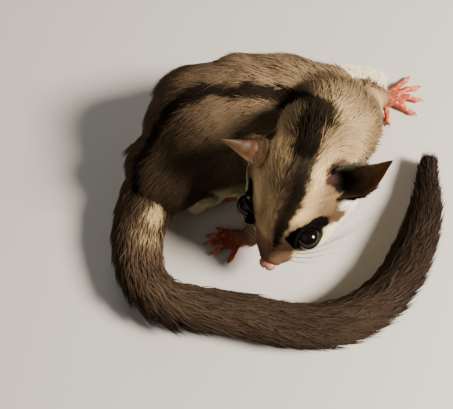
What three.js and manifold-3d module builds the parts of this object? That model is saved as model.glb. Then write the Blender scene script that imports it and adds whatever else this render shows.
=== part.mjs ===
// A sugar glider (Petaurus breviceps), life size, crouched and curled to its right with its head bent
// down, its left hand spread beside it and its bushy tail laid round in front of it.
// Millimetres, +Z up. The face looks towards -Y and the animal's left side is towards +X.
// The origin is on the floor, under the middle of the model.
import * as THREE from "three";
import { mergeVertices } from "three/addons/utils/BufferGeometryUtils.js";
import Module from "manifold-3d";

const wasm = await Module();
wasm.setup();

// Driving dimensions

const MUZZLE_REACH = 32.4; // middle of the braincase to the tip of the nose pad
const BRAINCASE = new THREE.Vector3(13.8, 13.6, 11.6); // half length, half width, half height
const EYE_RADIUS = 3.7;
const EAR_LENGTH = 20.2;
const EAR_WIDTH = 11.4;
const EAR_WALL = 0.9;
const TORSO_RADIUS = 21.5; // out to the tips of the coat
const TAIL_RADIUS = 8.4; // out to the tips of the tail's locks
const TAIL_CORE_SHARE = 0.48; // how far the core reaches towards the tips
const TAIL_COLLAR_SHARE = 0.85; // and where a part of the tail begins
const GAP = 0.3; // between nodes that meet
const BODY_STEP = 5.2; // grid step of the torso's surface
const HEAD_STEP = 2.7; // grid step of the head's surface
const LIMB_STEP = 2.6; // grid step of the limbs' surfaces
const HEAD_ROLL = THREE.MathUtils.degToRad(11); // the left side of the face turned up

const at = (x, y, z) => new THREE.Vector3(x, y, z);
const ORIGIN_SHIFT = at(-18.62, -11.87, 0);

// Colours, as the coat shows in daylight

const FUR_GREY = { color: 0x8d8173, roughness: 0.95, metalness: 0 };
const FUR_DARK = { color: 0x3d342e, roughness: 0.95, metalness: 0 };
const FUR_CREAM = { color: 0xcfc09c, roughness: 0.95, metalness: 0 };
const SKIN_PINK = { color: 0xd9897a, roughness: 0.6, metalness: 0 };
const EAR_BROWN = { color: 0x8a6a58, roughness: 0.7, metalness: 0 };
const EYE_BLACK = { color: 0x0b0808, roughness: 0.08, metalness: 0 };

// Implicit forms: each returns the distance from a point to its surface, negative inside

function taper(a, radiusA, b, radiusB) {
  const axis = b.clone().sub(a);
  const lengthSquared = axis.lengthSq();
  return (x, y, z) => {
    const px = x - a.x;
    const py = y - a.y;
    const pz = z - a.z;
    const along = (px * axis.x + py * axis.y + pz * axis.z) / lengthSquared;
    const t = Math.min(1, Math.max(0, along));
    const away = Math.hypot(px - t * axis.x, py - t * axis.y, pz - t * axis.z);
    return away - (radiusA + (radiusB - radiusA) * t);
  };
}

function egg(centre, radii) {
  return (x, y, z) => {
    const ux = (x - centre.x) / radii.x;
    const uy = (y - centre.y) / radii.y;
    const uz = (z - centre.z) / radii.z;
    const k0 = Math.hypot(ux, uy, uz);
    const k1 = Math.hypot(ux / radii.x, uy / radii.y, uz / radii.z);
    return k1 > 1e-9 ? (k0 * (k0 - 1)) / k1 : -Math.min(radii.x, radii.y, radii.z);
  };
}

function melt(a, b, width) {
  const overlap = Math.max(width - Math.abs(a - b), 0) / width;
  return Math.min(a, b) - (overlap * overlap * width) / 4;
}

const blend = (width, forms) => (x, y, z) =>
  forms.reduce((far, form) => melt(far, form(x, y, z), width), 1e3);

// A closed surface where the field is zero: one vertex in each grid cell that it crosses (surface nets)

function surfaceOf(field, low, high, step) {
  const size = high.clone().sub(low).divideScalar(step).ceil().addScalar(1);
  const [nx, ny, nz] = size.toArray();
  const index = (i, j, k) => (k * ny + j) * nx + i;
  const value = new Float64Array(nx * ny * nz);
  for (let k = 0; k < nz; k++)
    for (let j = 0; j < ny; j++)
      for (let i = 0; i < nx; i++) {
        const border = !i || !j || !k || i === nx - 1 || j === ny - 1 || k === nz - 1;
        const d = field(low.x + i * step, low.y + j * step, low.z + k * step);
        value[index(i, j, k)] = border ? Math.max(d, step * 0.01) : d;
      }
  const corners = [];
  for (let c = 0; c < 8; c++) corners.push([c & 1, (c >> 1) & 1, c >> 2]);
  const edges = [];
  for (let c = 0; c < 8; c++)
    for (const bit of [1, 2, 4]) if (!(c & bit)) edges.push([c, c | bit]);
  const vertexOf = new Int32Array(nx * ny * nz).fill(-1);
  const positions = [];
  for (let k = 0; k < nz - 1; k++)
    for (let j = 0; j < ny - 1; j++)
      for (let i = 0; i < nx - 1; i++) {
        const v = corners.map(([a, b, c]) => value[index(i + a, j + b, k + c)]);
        const inside = v.filter((d) => d < 0).length;
        if (inside === 0 || inside === 8) continue;
        const sum = at(0, 0, 0);
        let count = 0;
        for (const [p, q] of edges) {
          if (v[p] < 0 === v[q] < 0) continue;
          const t = v[p] / (v[p] - v[q]);
          for (const axis of [0, 1, 2]) {
            const along = corners[p][axis] + t * (corners[q][axis] - corners[p][axis]);
            sum.setComponent(axis, sum.getComponent(axis) + along);
          }
          count++;
        }
        vertexOf[index(i, j, k)] = positions.length / 3;
        sum.divideScalar(count).add(at(i, j, k)).multiplyScalar(step).add(low);
        positions.push(sum.x, sum.y, sum.z);
      }
  const faces = [];
  const point = (n) => at(positions[3 * n], positions[3 * n + 1], positions[3 * n + 2]);
  const quad = (a, b, c, d, flip) => {
    const [p, q, r, s] = flip ? [a, d, c, b] : [a, b, c, d];
    if (point(p).distanceTo(point(r)) < point(q).distanceTo(point(s)))
      faces.push(p, q, r, p, r, s);
    else faces.push(q, r, s, q, s, p);
  };
  for (let k = 0; k < nz - 1; k++)
    for (let j = 0; j < ny - 1; j++)
      for (let i = 0; i < nx - 1; i++) {
        const here = value[index(i, j, k)] < 0;
        const cell = (a, b, c) => vertexOf[index(i - a, j - b, k - c)];
        if (j && k && here !== value[index(i + 1, j, k)] < 0)
          quad(cell(0, 1, 1), cell(0, 0, 1), cell(0, 0, 0), cell(0, 1, 0), !here);
        if (i && k && here !== value[index(i, j + 1, k)] < 0)
          quad(cell(1, 0, 1), cell(1, 0, 0), cell(0, 0, 0), cell(0, 0, 1), !here);
        if (i && j && here !== value[index(i, j, k + 1)] < 0)
          quad(cell(1, 1, 0), cell(0, 1, 0), cell(0, 0, 0), cell(1, 0, 0), !here);
      }
  return solid(new Float32Array(positions), new Uint32Array(faces));
}

// Solids: closed meshes that can be joined and cut

function solid(vertProperties, triVerts) {
  return new wasm.Manifold(new wasm.Mesh({ numProp: 3, vertProperties, triVerts }));
}

function solidOf(geometry) {
  const bare = geometry.clone();
  bare.deleteAttribute("normal");
  bare.deleteAttribute("uv");
  const merged = mergeVertices(bare, 1e-4);
  return solid(merged.attributes.position.array, new Uint32Array(merged.index.array));
}

const largest = (made) =>
  made.decompose().reduce((a, b) => (b.volume() > a.volume() ? b : a));

const join = (solids) => solids.reduce((a, b) => a.add(b));

const without = (made, cutters) => cutters.reduce((a, b) => a.subtract(b), made);

// A closed solid whose faces may all have been listed inside out

function orient(positions, faces) {
  const made = solid(new Float32Array(positions), new Uint32Array(faces));
  if (made.volume() > 0) return made;
  for (let f = 0; f < faces.length; f += 3)
    [faces[f], faces[f + 1]] = [faces[f + 1], faces[f]];
  return solid(new Float32Array(positions), new Uint32Array(faces));
}

// A closed solid through rings of as many points each, its ends closed by fans

function loft(rings) {
  const sides = rings[0].length;
  const positions = rings.flat().flatMap((p) => p.toArray());
  const faces = [];
  for (let r = 0; r < rings.length - 1; r++)
    for (let n = 0; n < sides; n++) {
      const a = r * sides + n;
      const b = r * sides + ((n + 1) % sides);
      faces.push(a, b, b + sides, a, b + sides, a + sides);
    }
  for (const [ring, first] of [[0, true], [rings.length - 1, false]]) {
    const middle = rings[ring].reduce((sum, p) => sum.add(p), at(0, 0, 0));
    const centre = positions.length / 3;
    positions.push(...middle.divideScalar(sides).toArray());
    for (let n = 0; n < sides; n++) {
      const a = ring * sides + n;
      const b = ring * sides + ((n + 1) % sides);
      faces.push(...(first ? [b, a, centre] : [a, b, centre]));
    }
  }
  return orient(positions, faces);
}

const curveOf = (points) => new THREE.CatmullRomCurve3(points, false, "centripetal");
const mix = THREE.MathUtils.lerp;
const UP = at(0, 0, 1);

// The value of a list of numbers at t, from 0 at its first to 1 at its last

function along(values, t) {
  const place = Math.min(values.length - 1.0001, Math.max(0, t * (values.length - 1)));
  const n = Math.floor(place);
  return mix(values[n], values[n + 1], place - n);
}

// A tube of ellipses along a curve, at the shares of its length in stops; wide and high are half sizes

function tube(curve, stops, sides, wide, high, up = UP) {
  const rings = stops.map((t, r) => {
    const centre = curve.getPointAt(t);
    const side = curve.getTangentAt(t).cross(up).normalize();
    const top = side.clone().cross(curve.getTangentAt(t)).normalize();
    return Array.from({ length: sides }, (_, n) => {
      const turn = ((n + 0.5) / sides) * 2 * Math.PI;
      return centre
        .clone()
        .addScaledVector(side, wide[r] * Math.cos(turn))
        .addScaledVector(top, high[r] * Math.sin(turn));
    });
  });
  return loft(rings);
}

const evenly = (count) => Array.from({ length: count }, (_, n) => n / (count - 1));

// The head's own frame: x forward to the nose, y to the animal's left, z up through the crown

const HEAD_CENTRE = at(20.3, 2.8, 39.5);
const HEAD_FORWARD = at(-0.316, -0.6315, -0.7077).normalize();
const headLean = at(0.9031, -0.4276, -0.0218);
const HEAD_LEFT = headLean
  .addScaledVector(HEAD_FORWARD, -headLean.dot(HEAD_FORWARD))
  .normalize()
  .applyAxisAngle(HEAD_FORWARD, HEAD_ROLL);
const HEAD_UP = HEAD_FORWARD.clone().cross(HEAD_LEFT);
const headFrame = new THREE.Matrix4()
  .makeBasis(HEAD_FORWARD, HEAD_LEFT, HEAD_UP)
  .setPosition(HEAD_CENTRE);
const headInverse = headFrame.clone().invert();
const inHead = (p) => p.clone().applyMatrix4(headFrame);

const NOSE = at(MUZZLE_REACH - 2.2, 0, -5.6);
const PAD = NOSE.clone().add(at(1.2, 0, 0.5));
const PAD_RADII = at(2.1, 2.5, 2);
const EYE = at(14.8, 9.4, 1.8);
const EYE_LOOK = at(0.3, 0.8, 0.5).normalize();
const EAR_ROOT = at(-2.4, 11.6, 3.6);
const EAR_TURN = {
  left: { axis: at(-0.78, 0.6, 0.32).normalize(), opens: at(0.5, 0.1, 0.85), front: 1 },
  right: { axis: at(-0.24, 0.2, 0.95).normalize(), opens: at(0.75, 0.6, -0.2), front: -1 },
};
const MOUTH = [at(29.6, 0, -8), at(27.4, 0, -8.2), at(24, 0, -8.7), at(20, 0, -9.2), at(16, 0, -8.9)];

const headForms = blend(4.5, [
  egg(at(0, 0, 0), BRAINCASE),
  egg(at(3.5, 9, -4.5), at(9.8, 8.2, 7)), // jowl
  egg(at(13.5, 6.8, -5), at(8.8, 7.4, 4.7)), // cheek, under the eye
  egg(at(10, 0, 2.2), at(10, 8.6, 7)), // forehead
  taper(at(8, 0, -3), 8.8, at(18, 0, -4), 6),
  taper(at(17, 0, -4), 6, NOSE, 2.8), // muzzle
  egg(at(23.5, 2.8, -6.6), at(5.8, 4.2, 3)), // whisker pad
  taper(at(2, 0, -9), 6.5, at(26, 0, -9), 2.1), // lower jaw
]);
const eyeSwell = egg(EYE.clone().addScaledVector(EYE_LOOK, -1.9), at(6.2, 4.4, 5.4));

function headField(x, y, z) {
  const p = at(x, y, z).applyMatrix4(headInverse);
  const side = Math.abs(p.y);
  return melt(headForms(p.x, side, p.z), eyeSwell(p.x, side, p.z), 2);
}

// The place on the head's surface straight out from a point inside it, in the head's frame

function onHead(inside, towards) {
  const step = towards.clone().normalize();
  let reach = 0;
  for (let n = 0; n < 40; n++) {
    const p = inHead(inside.clone().addScaledVector(step, reach));
    reach -= headField(p.x, p.y, p.z) * 0.8;
  }
  return inside.clone().addScaledVector(step, reach);
}

// The trunk, as round stations along the spine: place and radius

const SPINE = [
  [at(25, 10.5, 43), 12.5], // occiput
  [at(31, 21, 34), 14.8], // neck
  [at(28.6, 29, 26), 17.4], // shoulders
  [at(19, 32.3, 22.4), 20.3],
  [at(7, 32.2, 21.1), TORSO_RADIUS],
  [at(-5.5, 29.8, 20.8), 21],
  [at(-18, 17.9, 14.6), 15],
  [at(-24, 11.1, 10.9), 10.6], // rump
  [at(-27.6, 2.2, 9.2), 8.6], // root of the tail
];
const stations = (first, last) =>
  blend(
    3,
    SPINE.slice(first + 1, last + 1).map(([place, radius], n) =>
      taper(...SPINE[first + n], place, radius),
    ),
  );

function spineAt(t) {
  const n = Math.min(SPINE.length - 2, Math.floor(t));
  return {
    place: SPINE[n][0].clone().lerp(SPINE[n + 1][0], t - n),
    radius: mix(SPINE[n][1], SPINE[n + 1][1], t - n),
  };
}

// A place on the trunk's side: left is 1 or -1, angle is down from level, in radians

function flankAt(t, left, angle, lift) {
  const { place, radius } = spineAt(t);
  const tailward = spineAt(Math.min(t + 0.5, 8)).place.sub(spineAt(t - 0.5).place);
  const side = tailward.cross(UP).normalize().multiplyScalar(left);
  return place
    .addScaledVector(side, (radius + lift) * Math.cos(angle))
    .addScaledVector(UP, -(radius + lift) * Math.sin(angle));
}

const LOW = at(-46, -24, -1.5);
const HIGH = at(68, 66, 64);
const grown = (field, by = GAP) => (x, y, z) => field(x, y, z) - by;

// The trunk is parted by upright planes that fan out from the hollow of the curl

const HUB = at(10, 4, 0);

function fanCut(t) {
  const reach = spineAt(t).place.sub(HUB).setZ(0).normalize();
  const normal = at(-reach.y, reach.x, 0);
  return { normal, offset: normal.dot(HUB) };
}

const before = (made, cut) =>
  made.trimByPlane(cut.normal.clone().negate().toArray(), -cut.offset + GAP / 2);
const after = (made, cut) => made.trimByPlane(cut.normal.toArray(), cut.offset + GAP / 2);

const chestField = stations(2, 5);
const abdomenField = stations(2, 7);
const hipsField = stations(4, 8);
const torsoField = stations(2, 8);
const neckField = blend(3, [stations(0, 2), headField]);
const chestCut = fanCut(3.5);
const hipsCut = fanCut(5.5);

const torsoCutter = surfaceOf(grown(torsoField), LOW, HIGH, BODY_STEP);
const chest = before(surfaceOf(chestField, LOW, HIGH, BODY_STEP), chestCut);
const abdomen = before(after(surfaceOf(abdomenField, LOW, HIGH, BODY_STEP), chestCut), hipsCut);
const hips = after(surfaceOf(hipsField, LOW, HIGH, BODY_STEP), hipsCut);

// The head is parted from the neck behind the ears, across the occiput

const nape = SPINE[1][0].clone().sub(SPINE[0][0]).normalize();
const napeOffset = nape.dot(SPINE[0][0].clone().lerp(SPINE[1][0], 0.3));
const napeCut = { normal: nape, offset: napeOffset };

function lid(side) {
  const centre = EYE.clone().addScaledVector(EYE_LOOK, 1.5);
  const ring = new THREE.TorusGeometry(EYE_RADIUS - 0.3, 0.9, 5, 14);
  const turn = new THREE.Quaternion().setFromUnitVectors(UP, EYE_LOOK);
  ring.applyQuaternion(turn).translate(...centre.toArray());
  return placedOnHead(ring, side);
}

function placedOnHead(geometry, side) {
  const made = solidOf(geometry.clone());
  const mirrored = side > 0 ? made : made.scale([1, side, 1]);
  return mirrored.transform(headFrame.toArray());
}

const bothSides = (make) => [make(1), make(-1)];

function ball(centre, radii, round, rise) {
  const shape = new THREE.SphereGeometry(1, round, rise);
  return shape.scale(...radii.toArray()).translate(...centre.toArray());
}

const mouthLine = (side) =>
  curveOf(
    MOUTH.map((p) => {
      const found = onHead(p, at(0, 1, 0));
      return inHead(at(found.x, side * found.y, found.z));
    }),
  );
const lips = bothSides((side) =>
  tube(mouthLine(side), evenly(7), 5, Array(7).fill(0.8), Array(7).fill(0.8), HEAD_UP),
);
const mouthGrooves = bothSides((side) =>
  tube(mouthLine(side), evenly(7), 4, Array(7).fill(1.1), Array(7).fill(0.4), HEAD_UP),
);
const sockets = bothSides((side) =>
  placedOnHead(ball(EYE, at(1, 1, 1).multiplyScalar(EYE_RADIUS + GAP), 12, 8), side),
);
const padBall = (margin) =>
  placedOnHead(ball(PAD, PAD_RADII.clone().addScalar(margin), 10, 6), 1);

const headBlank = before(surfaceOf(neckField, LOW, HIGH, HEAD_STEP), napeCut);
const head = without(join([headBlank, ...lips, ...bothSides(lid)]), [
  ...mouthGrooves,
  ...sockets,
  padBall(GAP),
  torsoCutter,
]);
const headCutter = surfaceOf(grown(headField), LOW, HIGH, HEAD_STEP);

const neck = without(after(surfaceOf(neckField, LOW, HIGH, BODY_STEP), napeCut), [torsoCutter]);
const neckCutter = surfaceOf(grown(neckField, 2 * GAP), LOW, HIGH, BODY_STEP);

const eyes = bothSides((side) =>
  placedOnHead(ball(EYE, at(1, 1, 1).multiplyScalar(EYE_RADIUS), 12, 8), side),
);

const nostrils = bothSides((side) =>
  placedOnHead(ball(NOSE.clone().add(at(2.9, 1.35, 0.1)), at(0.9, 0.5, 0.55), 6, 4), side),
);
const nosePad = without(padBall(0), nostrils);

// An ear: a leaf-shaped cup, its opening to the front and side. Its front edge is rounded, and its
// back edge curves in towards the tip.

const EAR_STOPS = [0, 0.12, 0.3, 0.5, 0.7, 0.86, 0.96, 1];
const EAR_FRONT = [0.5, 0.72, 0.9, 0.78, 0.48, 0.24, 0.11, 0.04].map((k) => (k * EAR_WIDTH) / 2);
const EAR_BACK = [0.5, 0.66, 0.66, 0.42, 0.22, 0.14, 0.1, 0.04].map((k) => (k * EAR_WIDTH) / 2);
const EAR_CUP = [4.6, 4.6, 4, 3, 2.1, 1.2, 0.5, 0.1];

function ear(side) {
  const { axis, opens: faces, front } = side > 0 ? EAR_TURN.left : EAR_TURN.right;
  const opens = faces.clone().addScaledVector(axis, -faces.dot(axis)).normalize();
  const wide = axis.clone().cross(opens);
  const root = EAR_ROOT.clone().addScaledVector(axis, -2);
  const bend = root.clone().addScaledVector(axis, EAR_LENGTH * 0.6).addScaledVector(opens, -1.2);
  const tip = root.clone().addScaledVector(axis, EAR_LENGTH + 2).addScaledVector(opens, 0.8);
  bend.addScaledVector(wide, 1.3 * front);
  tip.addScaledVector(wide, 0.3 * front);
  const line = curveOf([root, bend, tip]);
  const rings = EAR_STOPS.map((t, r) => {
    const centre = line.getPointAt(t);
    const half = (share) => (share * front > 0 ? EAR_FRONT : EAR_BACK)[r];
    const place = (share, inner) =>
      centre
        .clone()
        .addScaledVector(wide, share * (half(share) - (inner ? EAR_WALL * 0.4 : 0)))
        .addScaledVector(opens, -EAR_CUP[r] * (1 - share * share) + (inner ? EAR_WALL : 0));
    const shares = [-1, -0.6, -0.2, 0.2, 0.6, 1];
    const outer = shares.map((share) => place(share, false));
    const inner = shares.map((share) => place(-share, true));
    return [...outer, ...inner].map((p) => inHead(at(p.x, side * p.y, p.z)));
  });
  return without(loft(rings), [headCutter, neckCutter]);
}

// Limbs: joints from the shoulder or hip to the wrist or ankle, with radii

const LIMBS = {
  arm_left: [
    [at(37, 27, 27), 11.6],
    [at(42, 35, 18), 9.5],
    [at(48.5, 45.5, 10), 5.6],
    [at(55, 51.5, 5.2), 2.9],
  ],
  arm_right: [
    [at(22, 16, 22), 10],
    [at(18, 6, 15), 7],
    [at(12.5, 0, 8.5), 4.6],
    [at(7.8, -1.6, 4.6), 2.8],
  ],
  leg_left: [
    [at(-8, 30, 17), 13.5],
    [at(-14, 35, 11), 10.5],
    [at(-23, 31, 6), 5],
    [at(-26, 27.5, 4.4), 3.4],
  ],
  leg_right: [
    [at(-6, 22, 15), 12.5],
    [at(2, 19, 10), 8.5],
    [at(-5, 14.5, 7), 5.1],
    [at(-9.4, 11.2, 4.7), 3.6],
  ],
};

function limb(name) {
  const [root, knee, ...rest] = LIMBS[name];
  const upperField = taper(...root, ...knee);
  const lowerField = blend(2, [
    taper(...knee, ...rest[0]),
    taper(...rest[0], ...rest[1]),
  ]);
  const upperCutter = surfaceOf(grown(upperField), LOW, HIGH, LIMB_STEP * 1.4);
  const upper = surfaceOf(upperField, LOW, HIGH, LIMB_STEP * 1.4);
  const lower = surfaceOf(lowerField, LOW, HIGH, LIMB_STEP);
  const lowerCutter = surfaceOf(grown(lowerField), LOW, HIGH, LIMB_STEP);
  return {
    upper: without(upper, [torsoCutter, neckCutter, headCutter]),
    lower: without(lower, [upperCutter, torsoCutter, neckCutter, headCutter]),
    cutters: [upperCutter, lowerCutter],
  };
}

const armLeft = limb("arm_left");
const armRight = limb("arm_right");
const legLeft = limb("leg_left");
const legRight = limb("leg_right");

// A hand or foot: a flattened palm and digits, each with a pad and a hooked claw at its tip

const DIGIT_STOPS = [0, 0.5, 0.74, 0.83, 0.87, 1];
const DIGIT_RADII = [1.05, 0.92, 1.1, 0.7, 0.42, 0.08];

function digit(start, tip) {
  const root = start.clone().lerp(tip, -0.3).setZ(start.z);
  const reach = tip.clone().sub(root);
  const knuckle = root.clone().addScaledVector(reach, 0.4).setZ(2.4);
  const pad = root.clone().addScaledVector(reach, 0.75).setZ(0.72);
  const claw = root.clone().addScaledVector(reach, 0.89).setZ(1.15);
  const line = curveOf([root, knuckle, pad, claw, tip.clone().setZ(0.05)]);
  return tube(line, DIGIT_STOPS, 4, DIGIT_RADII, DIGIT_RADII);
}

function paw({ wrist, knuckles, width, digits }, cutters) {
  const line = curveOf([wrist, wrist.clone().lerp(knuckles, 0.5).setZ(2.4), knuckles]);
  const wide = [0.72, 0.9, 1, 0.95, 0.6].map((k) => (k * width) / 2);
  const palm = tube(line, evenly(5), 8, wide, [2.6, 2.1, 1.8, 1.5, 0.9]);
  const made = join([palm, ...digits.map(([root, tip]) => digit(root, tip))]);
  return without(made, cutters);
}

const PAWS = {
  hand_left: {
    wrist: at(55, 51.5, 4.6),
    knuckles: at(63.4, 55.2, 1.6),
    width: 8.6,
    digits: [
      [at(62.5, 57.8, 1.8), at(69.2, 64.4, 0)],
      [at(64.5, 56.6, 1.8), at(72.6, 59.8, 0)],
      [at(64.5, 54.4, 1.8), at(72.4, 53.4, 0)],
      [at(61.5, 51.6, 1.8), at(69.6, 47, 0)],
      [at(57.8, 49.8, 2), at(58.8, 42.4, 0)],
    ],
  },
  hand_right: {
    wrist: at(7.8, -1.6, 4.4),
    knuckles: at(0.6, -2, 1.6),
    width: 7.2,
    digits: [
      [at(2, -0.2, 1.8), at(-3.4, 2.4, 0)],
      [at(0.6, -0.8, 1.8), at(-6.9, -0.3, 0)],
      [at(0.1, -2.2, 1.8), at(-7.6, -3.3, 0)],
      [at(0.6, -3.6, 1.8), at(-5.4, -6.8, 0)],
      [at(3.4, -4.6, 2), at(0.6, -9.8, 0)],
    ],
  },
  foot_left: {
    wrist: at(-26.2, 27, 3.8),
    knuckles: at(-20.5, 38, 1.6),
    width: 7.4,
    digits: [
      [at(-22.4, 32, 1.8), at(-28.9, 35.5, 0)],
      [at(-23, 36.6, 1.8), at(-24.5, 44.6, 0)],
      [at(-21.6, 38.2, 1.8), at(-20.5, 46.6, 0)],
      [at(-19.6, 38.2, 1.8), at(-16.2, 46, 0)],
      [at(-18.2, 37, 1.8), at(-12.4, 43.6, 0)],
    ],
  },
  foot_right: {
    wrist: at(-9.9, 11, 3.8),
    knuckles: at(1, 16, 1.6),
    width: 7.4,
    digits: [
      [at(-4.2, 14.8, 1.8), at(-0.2, 19.8, 0)],
      [at(0.6, 13.3, 1.8), at(8, 13.8, 0)],
      [at(1.8, 14.7, 1.8), at(10.2, 16.6, 0)],
      [at(1.8, 16.4, 1.8), at(10, 19.4, 0)],
      [at(0.8, 17.6, 1.8), at(8, 21.8, 0)],
    ],
  },
};

// The gliding membrane, drawn up in folds along each flank from the wrist to the knee

const MEMBRANES = {
  membrane_left: {
    root: [
      at(54, 51, 5.6), at(50, 49, 8.5), at(44, 45, 12), at(37, 44, 14), at(28, 46.5, 14),
      at(16, 48.5, 13), at(4, 48, 12), at(-8, 43, 12), at(-15, 36.5, 11),
    ],
    free: [
      at(58.4, 58.2, 5), at(55.5, 61, 6), at(50, 61.6, 7.6), at(42, 60.6, 9.4), at(31, 58, 8),
      at(17, 57, 6.4), at(3, 56, 5.8), at(-10, 50.5, 5.8), at(-21, 41, 6),
    ],
  },
  membrane_right: {
    root: [
      at(14, 5, 8), at(13, 11, 11), at(10, 15, 12.5), at(6, 17.5, 12.5), at(1, 19, 12), at(-4, 19, 10),
    ],
    free: [
      at(11, 2.5, 6), at(8, 6.5, 6.6), at(5, 10, 7), at(1.6, 12.6, 7.4), at(-2, 13.6, 7), at(-6, 13.4, 6.2),
    ],
  },
};
const MEMBRANE_STOPS = 17;
const FOLD = [
  [0, 1.6], [0.4, 1.5], [0.75, 1.2], [1, 0.8], [1, -0.8], [0.75, -1.2], [0.4, -1.5], [0, -1.6],
];

function membrane({ root, free }, margin = 0) {
  const held = curveOf(root);
  const edge = curveOf(free);
  const rings = evenly(MEMBRANE_STOPS).map((t) => {
    const wave = Math.sin(t * 40) * Math.sin(Math.PI * t);
    const from = held.getPointAt(t);
    const to = edge.getPointAt(t).add(at(0, 0, 0.9 * wave));
    const span = to.sub(from).multiplyScalar(1 + 0.05 * wave + margin * 0.1);
    const normal = span.clone().cross(held.getTangentAt(t)).normalize();
    return FOLD.map(([share, off]) =>
      from
        .clone()
        .addScaledVector(span, share)
        .addScaledVector(normal, off + Math.sign(off) * margin),
    );
  });
  return loft(rings);
}

const limbCutters = [armLeft, armRight, legLeft, legRight].flatMap((made) => made.cutters);
const membraneCutters = [torsoCutter, neckCutter, headCutter, ...limbCutters];

// The tail, from the rump round in front of the face

const TAIL_PATH = curveOf([
  at(-26.6, 5, 10),
  at(-28, -2, 9.2),
  at(-27.8, -9.6, 8.4),
  at(-25.2, -17.8, 8.2),
  at(-19.4, -23.3, 8),
  at(-10.4, -26.2, 8),
  at(0.6, -28.4, 8),
  at(13, -31, 8),
  at(26, -32, 8),
  at(38.4, -29, 8),
  at(49.6, -21, 8),
  at(58.2, -9, 7.6),
  at(64, 4, 6.8),
  at(67.4, 17, 6),
]);
const TAIL_SWELL = [1.1, 1.08, 1.04, 1, 1, 1, 1, 0.98, 0.95, 0.88, 0.78, 0.6];
const TAIL_PARTS = {
  tail_base: [0.055, 0.17],
  tail_bend: [0.17, 0.36],
  tail_mid: [0.36, 0.58],
  tail_end: [0.58, 0.8],
  tail_tip: [0.8, 1],
};
const TAIL_LENGTH = TAIL_PATH.getLength();

// The frame of the tail at a distance along it, running straight on past its end

function tailFrame(reach) {
  const t = THREE.MathUtils.clamp(reach / TAIL_LENGTH, 0, 1);
  const ahead = TAIL_PATH.getTangentAt(t);
  const centre = TAIL_PATH.getPointAt(t).addScaledVector(ahead, reach - t * TAIL_LENGTH);
  const side = ahead.clone().cross(UP).normalize();
  const radius = TAIL_RADIUS * along(TAIL_SWELL, t);
  return { centre, ahead, side, top: side.clone().cross(ahead), radius };
}

function tailCore(from, to) {
  const stops = evenly(5).map((t) => mix(from, to, t) * (to === 1 ? 0.985 : 1));
  const radii = stops.map((t, n) => {
    const share = n ? TAIL_CORE_SHARE : TAIL_COLLAR_SHARE;
    return TAIL_RADIUS * share * along(TAIL_SWELL, t);
  });
  return tube(TAIL_PATH, stops, 8, radii, radii);
}

// The tail's locks: flat, tapered and bent, each rising from the core and lying back towards the tip

const LOCK_ROWS = 15;
const LOCKS_ROUND = 5;
const LOCK_LENGTH = 16;
const LOCK_SHAPE = [
  { reach: 0, rise: 0.28, wide: 2, thick: 0.8 },
  { reach: 0.3, rise: 0.74, wide: 3.7, thick: 1.1 },
  { reach: 0.68, rise: 0.96, wide: 3.1, thick: 0.8 },
];
const LOCK_TIP = { reach: 1, rise: 1.04 };

// Repeatable random numbers from 0 to 1

function randomFrom(seed) {
  let state = seed;
  return () => {
    state = (Math.imul(state, 1664525) + 1013904223) >>> 0;
    return state / 4294967296;
  };
}

function lock(start, angle, size) {
  const place = (reach, rise, offWide, offThick) => {
    const { centre, side, top, radius } = tailFrame(start + reach * LOCK_LENGTH * size);
    const out = side.clone().multiplyScalar(Math.cos(angle)).addScaledVector(top, Math.sin(angle));
    const round = side.clone().multiplyScalar(-Math.sin(angle)).addScaledVector(top, Math.cos(angle));
    return centre
      .addScaledVector(out, radius * rise + offThick)
      .addScaledVector(round, offWide * (radius / TAIL_RADIUS));
  };
  const points = LOCK_SHAPE.flatMap(({ reach, rise, wide, thick }) => [
    place(reach, rise, wide, 0),
    place(reach, rise, 0, thick),
    place(reach, rise, -wide, 0),
    place(reach, rise, 0, -thick),
  ]);
  const tip = points.length;
  points.push(place(LOCK_TIP.reach, LOCK_TIP.rise * mix(0.96, 1.02, size), 0, 0));
  const faces = [0, 1, 2, 0, 2, 3];
  for (let n = 0; n < tip - 4; n++) {
    const next = n % 4 === 3 ? n - 3 : n + 1;
    faces.push(n, next + 4, next, n, n + 4, next + 4);
  }
  for (let n = tip - 4; n < tip; n++) faces.push(n, tip, n % 4 === 3 ? n - 3 : n + 1);
  return orient(points.flatMap((p) => p.toArray()), faces);
}

function tailLocks() {
  const random = randomFrom(7);
  const found = [];
  for (let row = 0; row < LOCK_ROWS; row++)
    for (let n = 0; n < LOCKS_ROUND; n++) {
      const start = ((row + 0.5 * random()) / LOCK_ROWS) * (TAIL_LENGTH + 2) - 7;
      const turn = ((n + 0.5 * (row % 2) + 0.3 * random()) / LOCKS_ROUND) * 2 * Math.PI;
      const size = mix(0.85, 1.1, random());
      found.push({ start, made: lock(start, turn, size), end: start + LOCK_LENGTH * size });
    }
  return found;
}

const locks = tailLocks();

function tailPart(from, to) {
  const near = locks.filter(({ start, end }) => end > from * TAIL_LENGTH && start < to * TAIL_LENGTH);
  const made = join([tailCore(from, to), ...near.map((found) => found.made)]);
  const cutAt = (share, way) => {
    const { centre, ahead } = tailFrame(share * TAIL_LENGTH);
    const normal = ahead.clone().multiplyScalar(way);
    return { normal: normal.toArray(), offset: normal.dot(centre) + GAP / 2 };
  };
  const start = cutAt(from, 1);
  const end = cutAt(to, -1);
  const begun = made.trimByPlane(start.normal, start.offset);
  return to < 1 ? begun.trimByPlane(end.normal, end.offset) : begun;
}

// Every part, each a closed solid standing on the floor

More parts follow.
